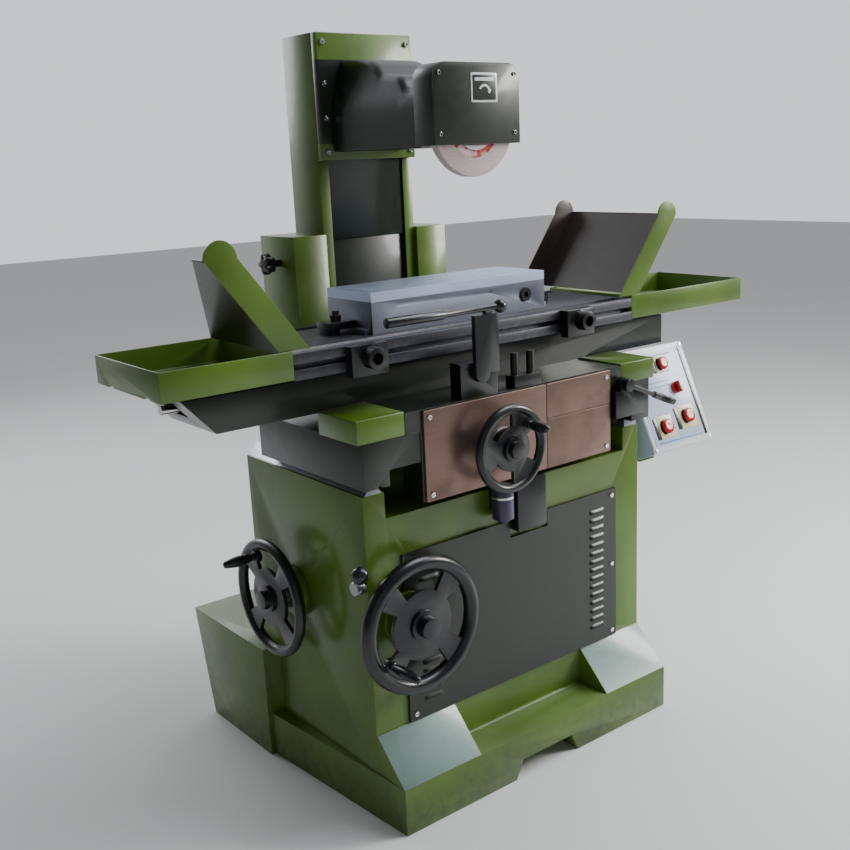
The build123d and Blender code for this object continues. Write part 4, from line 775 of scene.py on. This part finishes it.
class GRINDER_OT_stage(Piece, bpy.types.Operator):
    """Pale floor, soft studio lights and the camera"""
    bl_idname = "grinder.stage"
    bl_label = "Stage"

    FLOOR_HALF = 14.0
    BRIGHT_SIDE = (0.62, 0.76, 0.12)
    GLOW_RANGE = (0.05, 0.8, 0.10, 1.05)      # facing from, to; strength from, to
    AIM = (0.0, 0.0, 0.8)
    LAMPS = {                                 # place, disc size, watts, tint
        "key": ((3.0, -1.9, 2.0), 1.2, 105.0, (1.0, 0.98, 0.93)),
        "top": ((1.5, -1.0, 3.6), 2.4, 95.0, (0.86, 0.95, 1.0)),
        "fill": ((-2.2, -3.4, 1.7), 2.4, 5.0, (0.95, 0.97, 1.0)),
        "back": ((-0.4, 3.4, 2.6), 2.2, 45.0, (0.92, 0.97, 1.0)),
    }
    CAMERA_PLACE = (-1.4085, -1.8497, 1.2481)
    CAMERA_TURN = (38.76, 14.4, -2.31)        # yaw, pitch down and roll in degrees
    LENS = 45.92
    SHIFT = (-0.0313, 0.0092)

    def build(self):
        self.floor()
        self.lights()
        self.camera()

    def floor(self):
        s = Shader("studio floor")
        at = s.place()
        cloud = s.noise(at, 2.0, 3.0)
        tone = s.mix(cloud * 0.1, tuple(colours().floor), shade(colours().floor, 0.94))
        material = s.finish(tone, 0.6 + cloud * 0.1)
        half = self.FLOOR_HALF
        mesh = bpy.data.meshes.new("floor")
        corners = [(-half, -half, 0), (half, -half, 0), (half, half, 0), (-half, half, 0)]
        mesh.from_pydata(corners, [], [(0, 1, 2, 3)])
        mesh.materials.append(material)
        put("floor", mesh)

    def lights(self):
        """Pale surround that is brighter towards the back right, and four soft lamps."""
        world = bpy.data.worlds.new("studio")
        world.use_nodes = True
        tree = world.node_tree
        glow = tree.nodes["Background"]
        at = tree.nodes.new("ShaderNodeTexCoord")
        facing = tree.nodes.new("ShaderNodeVectorMath")
        facing.operation = "DOT_PRODUCT"
        facing.inputs[1].default_value = self.BRIGHT_SIDE
        spread = tree.nodes.new("ShaderNodeMapRange")
        spread.interpolation_type = "SMOOTHSTEP"
        for socket, value in zip(spread.inputs[1:5], self.GLOW_RANGE):
            socket.default_value = value
        tree.links.new(at.outputs["Generated"], facing.inputs[0])
        tree.links.new(facing.outputs["Value"], spread.inputs[0])
        tree.links.new(spread.outputs[0], glow.inputs[1])
        glow.inputs[0].default_value = (0.95, 0.97, 1.0, 1.0)
        bpy.context.scene.world = world
        for name, (at, size, power, tint) in self.LAMPS.items():
            lamp = bpy.data.lights.new(name, "AREA")
            lamp.shape = "DISK"
            lamp.size = size
            lamp.energy = power
            lamp.color = tint
            holder = put(name, lamp)
            holder.location = at
            aim = Vector(self.AIM) - Vector(at)
            holder.rotation_euler = aim.to_track_quat("-Z", "Y").to_euler()

    def camera(self):
        """Camera at its place, turned by yaw about Z, pitched down and rolled about its view."""
        yaw, pitch, roll = [radians(a) for a in self.CAMERA_TURN]
        forward = Vector((sin(yaw) * cos(pitch), cos(yaw) * cos(pitch), -sin(pitch)))
        level = Vector((cos(yaw), -sin(yaw), 0))
        upright = level.cross(forward)
        right = cos(roll) * level + sin(roll) * upright
        up = -sin(roll) * level + cos(roll) * upright
        lens = bpy.data.cameras.new("camera")
        lens.sensor_width = 36.0
        lens.lens = self.LENS
        lens.shift_x, lens.shift_y = self.SHIFT
        holder = put("camera", lens)
        turn = Matrix((right, up, -forward)).transposed().to_4x4()
        holder.matrix_world = Matrix.Translation(self.CAMERA_PLACE) @ turn
        bpy.context.scene.camera = holder


class GRINDER_OT_wheel(Piece, bpy.types.Operator):
    """Grinding wheel with its paper blotter on the front face"""
    bl_idname = "grinder.wheel"
    bl_label = "Grinding wheel"

    def build(self):
        low, high = lows("grinding_wheel"), highs("grinding_wheel")
        x, _, z = mid("grinding_wheel")
        front, back = low[1], high[1]
        outer, bore = (high[0] - low[0]) / 2, 38.2
        profile = [(bore, front), (outer - 1.4, front), (outer - 0.4, front + 0.5),
                   (outer, front + 1.5), (outer, back - 1.5), (outer - 0.4, back - 0.5),
                   (outer - 1.4, back), (bore, back)]
        add_piece("abrasive_wheel", lathe(profile, "y", (x, z), 128, closed=True), "abrasive",
                  "spindle", ["grinding_wheel"])
        ring = [(50.4, front - 0.6), (64, front - 0.6), (64.4, front + 0.1), (50.4, front + 0.1)]
        add_piece("wheel_blotter", lathe(ring, "y", (x, z), 96, closed=True), "blotter paper",
                  "spindle")


class GRINDER_OT_head(Piece, bpy.types.Operator):
    """Head casting with its crowned top, and the screws of the slide and guard"""
    bl_idname = "grinder.head"
    bl_label = "Wheel head"

    def build(self):
        self.casting()
        self.screws()

    def casting(self):
        """Loft along Y: a six-corner section whose crown follows a smoothed top line.

        Half width falls in a straight line from 95 at z 1345 to 64 at z 1450.
        """
        low, high = lows("head_casting"), highs("head_casting")
        knots = np.array([(-154, 1369), (-108, 1369), (-74, 1401), (-6, 1408), (10, 1425),
                          (40, 1440), (148, 1450)], float)
        y = np.linspace(low[1], high[1], 70)
        top = np.interp(y, knots[:, 0], knots[:, 1])
        soft = np.convolve(np.pad(top, 2, mode="edge"), np.ones(5) / 5, "valid")
        shoulder = np.minimum(1345, soft - 18)
        crown = 95 - (soft - 1345) * 31 / 105
        side = np.full_like(soft, 95.0)
        bottom = np.full_like(soft, low[2])
        corners = np.stack([
            np.stack([-side, bottom], -1), np.stack([side, bottom], -1),
            np.stack([side, shoulder], -1), np.stack([crown, soft], -1),
            np.stack([-crown, soft], -1), np.stack([-side, shoulder], -1)], axis=1)
        ends = np.minimum(y - y[0], y[-1] - y)
        squeeze = np.where(ends < 1e-6, 3.0, 0.0)
        rings = np.stack([rounded(c, [5, 5, 22, 16, 16, 22], 6) for c in corners])
        rings = np.stack([inset(ring, [d * MM])[0] for ring, d in zip(rings, squeeze)])
        points = on_axis("y", rings[..., 0], rings[..., 1], (y * MM)[:, None])
        add_piece("head_shell", capped(points), "dark enamel", "head",
                  ["head_casting"], CAST_ANGLE)

    def screws(self):
        face = lows("head_slide")[1]
        places = [(side * 109, z) for side in (-1, 1) for z in (1262, 1330, 1400, 1484)]
        heads = [cap_screw("y", at, face, -1, 6, 5) for at in places]
        add_piece("slide_screws", joined(*heads), "plating", "head")
        face = lows("guard_cover")[1]
        rim = [(side * 94, z) for side in (-1, 1) for z in (1285, 1395)]
        heads = [cap_screw("y", at, face, -1, 4, 2.6) for at in rim]
        add_piece("guard_screws", joined(*heads), "plating", "head")
        frame_plate = plate((-17, 49), (face - 1.2, face + 0.2), (1342, 1396), "y", 3, 0.4)
        add_piece("guard_plate", frame_plate, "white plastic", "head")
        inner = plate((-13, 45), (face - 1.7, face - 1.0), (1346, 1392), "y", 2, 0.2)
        add_piece("guard_plate_field", inner, "dark enamel", "head")


class GRINDER_OT_grips(Piece, bpy.types.Operator):
    """Turned handles on the three handwheels, and the wheels' hub nuts"""
    bl_idname = "grinder.grips"
    bl_label = "Grips"

    def build(self):
        for node, axis in (("vertical_grip", "y"), ("cross_grip", "y"), ("side_grip", "x")):
            self.turned(node, axis, 11)
        for node, axis, radius in (("vertical_handwheel", "y", 17), ("cross_handwheel", "y", 13),
                                   ("side_handwheel", "x", 16)):
            self.hub_nut(node, axis, radius)

    def turned(self, node, axis, radius):
        """Handle from the pin's collar, 9.6 mm inside the CAD grip's inner end, outwards."""
        index = "xyz".index(axis)
        base = highs(node)[index] - 9.6
        profile = handle(base - lows(node)[index] - radius * 0.75, radius)
        profile[:, 1] = base - profile[:, 1]
        add_piece(node + "_turned", lathe(profile, axis, across(node, index), 40),
                  "black plastic", node_body(node), [node])

    def hub_nut(self, node, axis, radius):
        """Six-sided nut over the end of the shaft."""
        index = "xyz".index(axis)
        at = across(node, index)
        face = lows(node)[index]
        flat = np.linspace(0, 2 * pi, 6, endpoint=False)
        outline = np.stack([at[0] + radius * 0.8 * np.cos(flat),
                            at[1] + radius * 0.8 * np.sin(flat)], -1)
        nut = slab(rounded(outline, 0.8, 3), face + 0.2, face + 3.0, 0.6, axis)
        add_piece(node + "_nut", nut, "plating", node_body(node))


class GRINDER_OT_door(Piece, bpy.types.Operator):
    """Louvre hoods on the front door"""
    bl_idname = "grinder.door"
    bl_label = "Door louvres"

    ROWS, MARGIN, MARGINS = 15, 28.0, 60.0    # margin below the lowest, and both together
    HALF, FROM_EDGE = 24.0, 60.0              # a louvre's half width, its middle from the edge
    BEARING_ROOM = 58.0                       # kept free of louvres round the feed shaft

    def build(self):
        low, high = lows("front_door"), highs("front_door")
        face, rise = low[1], sizes().louvre / MM
        pitch = (high[2] - low[2] - self.MARGINS) / self.ROWS
        hoods = []
        for side in (-1, 1):
            x = side * (high[0] - self.FROM_EDGE)
            for i in range(self.ROWS):
                z = low[2] + self.MARGIN + pitch * (i + 0.5)
                aside = max(abs(x - FEED_SHAFT[0]) - self.HALF, 0)
                if hypot(aside, z - FEED_SHAFT[1]) > self.BEARING_ROOM:
                    hoods.append(self.hood(x, face, z, rise))
        add_piece("louvre_hoods", joined(*hoods), "dark enamel", "base")

    def hood(self, x, face, z, rise):
        """Half dome across the slot.

        u runs over the width, v from its top edge down to its lip; it stands out by
        rise (1 - |2u - 1|^8) sin(90 v) and its lip closes back to the sheet.
        """
        u = np.linspace(0, 1, 13)[:, None]
        v = np.linspace(0, 1, 6)[None, :]
        out = rise * (1 - np.abs(2 * u - 1) ** 8) * np.sin(pi / 2 * v)
        px = x - self.HALF + 2 * self.HALF * u + 0 * v
        pz = z + 6 - 8.5 * v + 0 * u
        front = np.stack([px, face - 0.1 - out, pz], -1)
        back = np.stack([px, np.full_like(out, face + 0.6), pz], -1)
        shell = np.concatenate([front, back[:, ::-1]], axis=1) * MM
        return capped(shell)


class GRINDER_OT_trim(Piece, bpy.types.Operator):
    """Small trim: band on the pilot cylinder, cove above the foot, marks on the guard plate"""
    bl_idname = "grinder.trim"
    bl_label = "Trim"

    PILOT_R = 22
    BODY_FRONT, LEDGE, COVE_HALF = -292.0, 96.0, 179.5
    ARROW = (16, 1360)

    def build(self):
        x, y = [c + self.PILOT_R for c in lows("pilot_cylinder")[:2]]
        z = highs("pilot_cylinder")[2] - 26
        band = [(21.6, z), (22.5, z + 0.4), (22.5, z + 4.6), (21.6, z + 5), (20, z + 5), (20, z)]
        add_piece("pilot_band", lathe(band, "z", (x, y), 64, closed=True), "plating", "base")
        self.cove()
        self.marks()

    def cove(self):
        """Quarter-round cove where the body meets the foot's ledge.

        Section: radius r about (y, z) = (front - r, ledge + r), t from 0 to 90 degrees.
        """
        front, ledge, r = self.BODY_FRONT, self.LEDGE, 9.0
        t = np.linspace(0, pi / 2, 8)
        arc = np.stack([front - r + r * np.cos(t), ledge + r - r * np.sin(t)], -1)
        outline = np.vstack([[(front + 0.5, ledge - 0.5), (front + 0.5, ledge + r)], arc,
                             [(front - r, ledge - 0.5)]]) * MM
        cove = slab(outline, -self.COVE_HALF, self.COVE_HALF, 0.0, "x")
        add_piece("ledge_cove", cove, "light enamel", "base")

    def marks(self):
        """A plain bar and an arrow that shows which way the wheel turns."""
        face = lows("guard_cover")[1] - 1.6
        bar = plate((-8, 40), (face - 0.5, face + 0.2), (1381, 1387), "y", 1, 0.1)
        t = np.linspace(radians(150), radians(20), 24)
        end = t[-1]

        def polar(radius, turn):
            return np.stack([self.ARROW[0] + radius * np.cos(turn),
                             self.ARROW[1] + radius * np.sin(turn)], -1)

        outer, inner = polar(15, t), polar(11, t)[::-1]
        tip = [polar(18, end), polar(13, end - 0.55), polar(8, end)]
        arrow = slab(np.vstack([outer, tip, inner]) * MM, face - 0.5, face + 0.2, 0.0, "y")
        add_piece("guard_marks", joined(bar, arrow), "white plastic", "head")


class GRINDER_OT_apron(Piece, bpy.types.Operator):
    """Apron plates with their seams, and the cross-feed dial"""
    bl_idname = "grinder.apron"
    bl_label = "Apron"

    def build(self):
        low, high = lows("apron_plate"), highs("apron_plate")
        split, seam, half = 62.0, 727.0, 0.6
        right = (split + half, high[0])
        panels = [plate(x, (low[1], high[1]), z, "y", 3, 0.8) for x, z in (
            ((low[0], split - half), (low[2], high[2])),
            (right, (seam + half, high[2])),
            (right, (low[2], seam - half)))]
        add_piece("apron_panels", joined(*panels), "apron plate", "saddle",
                  ["apron_plate"])
        x, _, z = CROSS_SHAFT
        near = highs("cross_handwheel")[1]
        profile = [(20, near - 1), (38.4, near - 1), (39, near - 2), (39, near - 15),
                   (38.4, near - 16), (20, near - 16)]
        add_piece("cross_dial", lathe(profile, "y", (x, z), 72, closed=True), "cross dial",
                  "cross_feed")


class GRINDER_OT_guards(Piece, bpy.types.Operator):
    """Splash guards: dark sheets between light rims with round tops"""
    bl_idname = "grinder.guards"
    bl_label = "Splash guards"

    LOW, RISE, LEAN, RIM, SHEET = 929.0, 168.0, 126.0, 62.0, 3.0
    FRONT, REAR = -232.0, 92.0
    RIGHT_IN, LEFT_IN = 380, 420              # inner foot of each guard from the middle
    LEFT_REARS = (21.0, -192.0)               # the left guard's rear edge, low and high

    def build(self):
        front, rear, right, left = self.FRONT, self.REAR, self.RIGHT_IN, self.LEFT_IN
        rims = [self.rim(1, right, front), self.rim(-1, left, front)]
        add_piece("guard_front_rims", joined(*rims), "light enamel", "table",
                  ["splash_guards"])
        add_piece("guard_rear_rim", self.rim(1, right, rear), "brown sheet", "table")
        sheets = [self.sheet(1, right, front + 3, rear, rear),
                  self.sheet(-1, left, front + 3, *self.LEFT_REARS)]
        add_piece("guard_sheets", joined(*sheets), "brown sheet", "table")

    def rim(self, side, inner, y):
        """Leaning band with a half-round top, thin along Y."""
        half = self.RIM / 2
        top = self.LOW + self.RISE
        t = np.linspace(0, pi, 24)
        arch = np.stack([inner + self.LEAN + half + half * np.cos(t), top + half * np.sin(t)], -1)
        foot = [(inner, self.LOW), (inner + self.RIM, self.LOW)]
        outline = np.vstack([foot, arch]) * (side, 1) * MM
        return slab(outline, y, y + self.SHEET, 0.7, "y")

    def sheet(self, side, inner, front, low_rear, high_rear):
        """Leaning sheet: at height share u it runs from the front to a rear that moves evenly
        from low_rear to high_rear, 3 mm thick, with its top edge rolled to a 2.4 mm bead."""
        u = np.linspace(0, 1, 9)
        x = inner + self.RIM - self.SHEET + self.LEAN * u
        z = self.LOW + self.RISE * u
        rear = low_rear + (high_rear - low_rear) * u
        ring = [(x, front + 0 * u), (x, rear), (x + self.SHEET, rear),
                (x + self.SHEET, front + 0 * u)]
        points = np.stack([np.stack([side * a, b, z], -1) for a, b in ring], axis=1) * MM
        bead = sweep([(side * (x[-1] + 1.5), b, z[-1] - 1) for b in
                      np.linspace(front + 0.2, rear[-1] - 0.2, 5)], 2.4)
        return joined(capped(points), bead)


class GRINDER_OT_knobs(Piece, bpy.types.Operator):
    """Star knob of the column clamp, dogs' milled caps, ball lever and throttle lever"""
    bl_idname = "grinder.knobs"
    bl_label = "Knobs"

    CLAMP = (215.0, 1035.0)
    DOG_Z = 899.0
    SIDE_LEVER = (-371.0, -278.0, 480.0)
    THROTTLE, THROTTLE_REACH, THROTTLE_LEAN = (287.0, 762.0), 153.0, -22.7

    def build(self):
        self.star()
        self.dogs()
        self.side_ball()
        self.throttle()

    def star(self):
        """Five-lobed knob: radius 19 + 4.5 cos(5 t), with a domed face, on its stem."""
        start, end = lows("column_clamp")[0], highs("column_clamp")[0]
        profile = [(0, start), (14, start), (18, start + 2), (19, start + 6), (19, start + 18),
                   (17, start + 21), (9, start + 22.5), (8, start + 24), (8, end), (0, end)]

        def lobes(t, r):
            share = np.clip((r / MM - 9.5) / 9.5, 0, 1)
            return r + 4.5 * MM * share * np.cos(5 * t)

        add_piece("clamp_star", lathe(profile, "x", self.CLAMP, 90, lobes), "black plastic",
                  "clamp_knob", ["column_clamp"])

    def dogs(self):
        """Milled caps: the rim's radius steps by 3 percent with the sign of sin(30 t)."""
        def milled(t, r):
            return r * (1 + 0.03 * np.sign(np.sin(30 * t)) * (r > 12 * MM))

        for node in ("left_dog", "right_dog"):
            face = lows(node)[1]
            profile = [(0, face), (11, face), (13, face + 1), (13, face + 3), (0, face + 3)]
            cap = lathe(profile, "y", (mid(node)[0], self.DOG_Z), 120, milled)
            add_piece(node + "_cap", cap, "plating", node)

    def side_ball(self):
        """Boss on the base's left wall, a short arm that leans out, and a ball on its end."""
        x, y, z = self.SIDE_LEVER
        lean = radians(128)
        tip = (y + 46 * cos(lean), z + 46 * sin(lean))
        boss = lathe([(0, x - 0.4), (13, x - 0.4), (14, x - 2), (14, x - 20), (12.5, x - 22),
                      (0, x - 22)], "x", (y, z), 40)
        arm = sweep([(x - 16, y, z), (x - 18, (y + tip[0]) / 2, (z + tip[1]) / 2),
                     (x - 22, *tip)], [6, 5, 4.4])
        add_piece("side_lever_arm", joined(boss, arm), "turned steel", "side_lever")
        add_piece("side_lever_ball", ball(17, (x - 24, *tip), 40), "black plastic",
                  "side_lever", ["side_lever"])

    def throttle(self):
        """Tapered hand lever with a ribbed black grip."""
        x, z = self.THROTTLE
        front = lows("throttle_lever")[1] + 8
        lean, reach = radians(self.THROTTLE_LEAN), self.THROTTLE_REACH

        def along(steps):
            return [(x + s * cos(lean), front, z + s * sin(lean)) for s in steps]

        boss = lathe([(0, front + 8), (13.4, front + 8), (14, front + 7), (14, front - 5),
                      (13, front - 6), (6, front - 6.6), (0, front - 6.6)], "y", (x, z), 40)
        bar = sweep(along(np.linspace(0, reach * 0.6, 8)), np.linspace(6.5, 4.6, 8))
        add_piece("throttle_bar", joined(boss, bar), "black enamel", "throttle")
        steps = np.linspace(reach * 0.56, reach + 7, 40)
        swell = 7.4 + 0.5 * np.cos(steps * 1.6)
        swell[[0, -1]] = (5.0, 4.0)
        add_piece("throttle_grip", sweep(along(steps), swell), "black plastic", "throttle",
                  ["throttle_lever"])


class GRINDER_OT_panel(Piece, bpy.types.Operator):
    """Face of the control panel with its bezels, label plates, buttons and selector"""
    bl_idname = "grinder.panel"
    bl_label = "Control panel"

    TILT = radians(90 - 24.4)
    CORNER = (406.0, -213.0, 799.0)
    WIDE, HIGH = 204.0, 242.0
    BUTTONS = {                               # across, down the face, radius
        "upper_button": (112, 44, 15), "left_button": (62, 188, 17),
        "right_button": (142, 176, 17),
    }
    TAG_HALVES = ((20, 20), (25, 26), (27, 27))
    LINES = ((24, 150, 22), (24, 118, 84), (24, 118, 94), (24, 176, 222))
    SELECTOR = (134, 106, 14)
    STEM_LOW, STEM_R = -9.8, 7.9

    def on_face(self, shape):
        """Puts a shape drawn with x across, y up the face and z out of it in place."""
        place = Matrix.Translation(Vector(self.CORNER) * MM) @ Matrix.Rotation(self.TILT, 4, "X")
        return moved(shape, place)

    def lay(self, name, shape, finish, slot="panel_enamel", body="base", nodes=()):
        """Adds a piece drawn on the face."""
        add_piece(name, self.on_face(shape), finish, body, nodes)

    def build(self):
        wide, high = self.WIDE, self.HIGH
        border = plate((2, wide - 2), (2 - high, -2), (0.05, 1.4), "z", 6, 0.5)
        self.lay("panel_border", border, "white plastic")
        field = plate((12, wide - 22), (14 - high, -12), (1.2, 2.2), "z", 4, 0.4)
        self.lay("panel_field", field, "panel enamel")
        strip = plate((wide - 20, wide - 12), (14 - high, -12), (1.2, 2.4), "z", 2, 0.4)
        self.lay("panel_strip", strip, "black plastic", "black_plastic")
        spots = [(u, v, *half) for (u, v, _), half in zip(self.BUTTONS.values(), self.TAG_HALVES)]
        tags = [plate((u - a, u + a), (-v - b, -v + b), (1.9, 3.1), "z", 2, 0.3)
                for u, v, a, b in spots]
        self.lay("panel_tags", joined(*tags), "cream plastic")
        # painted shade: a flat black bar at the left of each label plate stands for the shaded
        # side of a raised button box
        shade_bars = [plate((u - a - 13, u - a - 1), (-v - b, -v + b - 2), (1.9, 3.1), "z", 1.5, 0.3)
                for u, v, a, b in spots]
        self.lay("panel_tag_shade_bars", joined(*shade_bars), "black plastic", "black_plastic")
        lines = [plate((u0, u1), (-v - 2.2, -v + 2.2), (1.9, 2.5), "z", 1, 0.2)
                 for u0, u1, v in self.LINES]
        self.lay("panel_lines", joined(*lines), "blue print")
        screws = [cap_screw("z", (u, -v), 1.3, 1, 3.2, 2.4)
                  for u in (8, wide - 8) for v in (8, high - 8)]
        self.lay("panel_screws", joined(*screws), "plating", "chrome")
        for name, (u, v, r) in self.BUTTONS.items():
            self.button(name, u, v, r)
        self.selector(*self.SELECTOR)

    def button(self, name, u, v, r):
        """Mushroom cap with a dished face, high enough to clear its bezel ring when pressed."""
        cap = [(8, 6.5), (r - 1, 6.5), (r, 7.6), (r, 10), (r - 1.2, 12.6), (r - 4, 13.9),
               (r * 0.4, 13.5), (0, 13.3)]
        stem = [(0, self.STEM_LOW), (self.STEM_R, self.STEM_LOW), (self.STEM_R, 6.6), (8, 6.5)]
        self.lay(name + "_cap", lathe(stem + cap, "z", (u, -v), 48), "red plastic",
                 "red_plastic", name, [name])

        def knurl(t, radii):
            return radii * (1 + 0.02 * np.sign(np.sin(24 * t)))

        ring = [(8.6, 2.6), (r + 3, 2.6), (r + 3, 3.3), (8.6, 3.3)]
        self.lay(name + "_ring", lathe(ring, "z", (u, -v), 96, knurl, True), "black plastic",
                 "black_plastic")

    def selector(self, u, v, r):
        """Selector: round base and a pointer bar with a white line."""
        base = lathe([(0, self.STEM_LOW), (self.STEM_R, self.STEM_LOW), (self.STEM_R, 2.6),
                      (r, 2.6), (r, 6.4), (r - 1.6, 8), (0, 8)], "z", (u, -v), 48)
        bar = plate((u - 4, u + 4), (-v - r + 0.5, -v + r - 0.5), (7.4, 20), "z", 3, 1.5)
        self.lay("selector_body", joined(base, bar), "red plastic", "black_plastic",
                 "selector", ["selector_knob"])
        line = plate((u - 0.8, u + 0.8), (-v + 2, -v + r - 2), (19.6, 20.2), "z", 0.4, 0.1)
        self.lay("selector_line", line, "white plastic", body="selector")


GROUPS = (
    GRINDER_OT_finishes, GRINDER_OT_castings, GRINDER_OT_wheel, GRINDER_OT_head,
    GRINDER_OT_grips, GRINDER_OT_door, GRINDER_OT_apron, GRINDER_OT_guards, GRINDER_OT_trim,
    GRINDER_OT_knobs, GRINDER_OT_panel, GRINDER_OT_stage,
)


class GRINDER_PT_panel(bpy.types.Panel):
    """Lists the settings and one button for each group of pieces"""
    bl_idname = "GRINDER_PT_panel"
    bl_label = "Surface Grinder"
    bl_space_type = "VIEW_3D"
    bl_region_type = "UI"
    bl_category = "Grinder"

    def draw(self, context):
        for group in (context.scene.grinder_colours, context.scene.grinder_sizes):
            for key in group.bl_rna.properties.keys():
                if key not in ("rna_type", "name"):
                    self.layout.prop(group, key)
        for operator in GROUPS:
            self.layout.operator(operator.bl_idname)


CLASSES = (GrinderColours, GrinderSizes, *GROUPS, GRINDER_PT_panel)


def register():
    for cls in CLASSES:
        bpy.utils.register_class(cls)
    bpy.types.Scene.grinder_colours = PointerProperty(type=GrinderColours)
    bpy.types.Scene.grinder_sizes = PointerProperty(type=GrinderSizes)


def unregister():
    del bpy.types.Scene.grinder_sizes
    del bpy.types.Scene.grinder_colours
    for cls in reversed(CLASSES):
        bpy.utils.unregister_class(cls)


def main():
    register()
    for operator in GROUPS:
        group, action = operator.bl_idname.split(".")
        getattr(getattr(bpy.ops, group), action)()


if __name__ == "__main__":
    main()
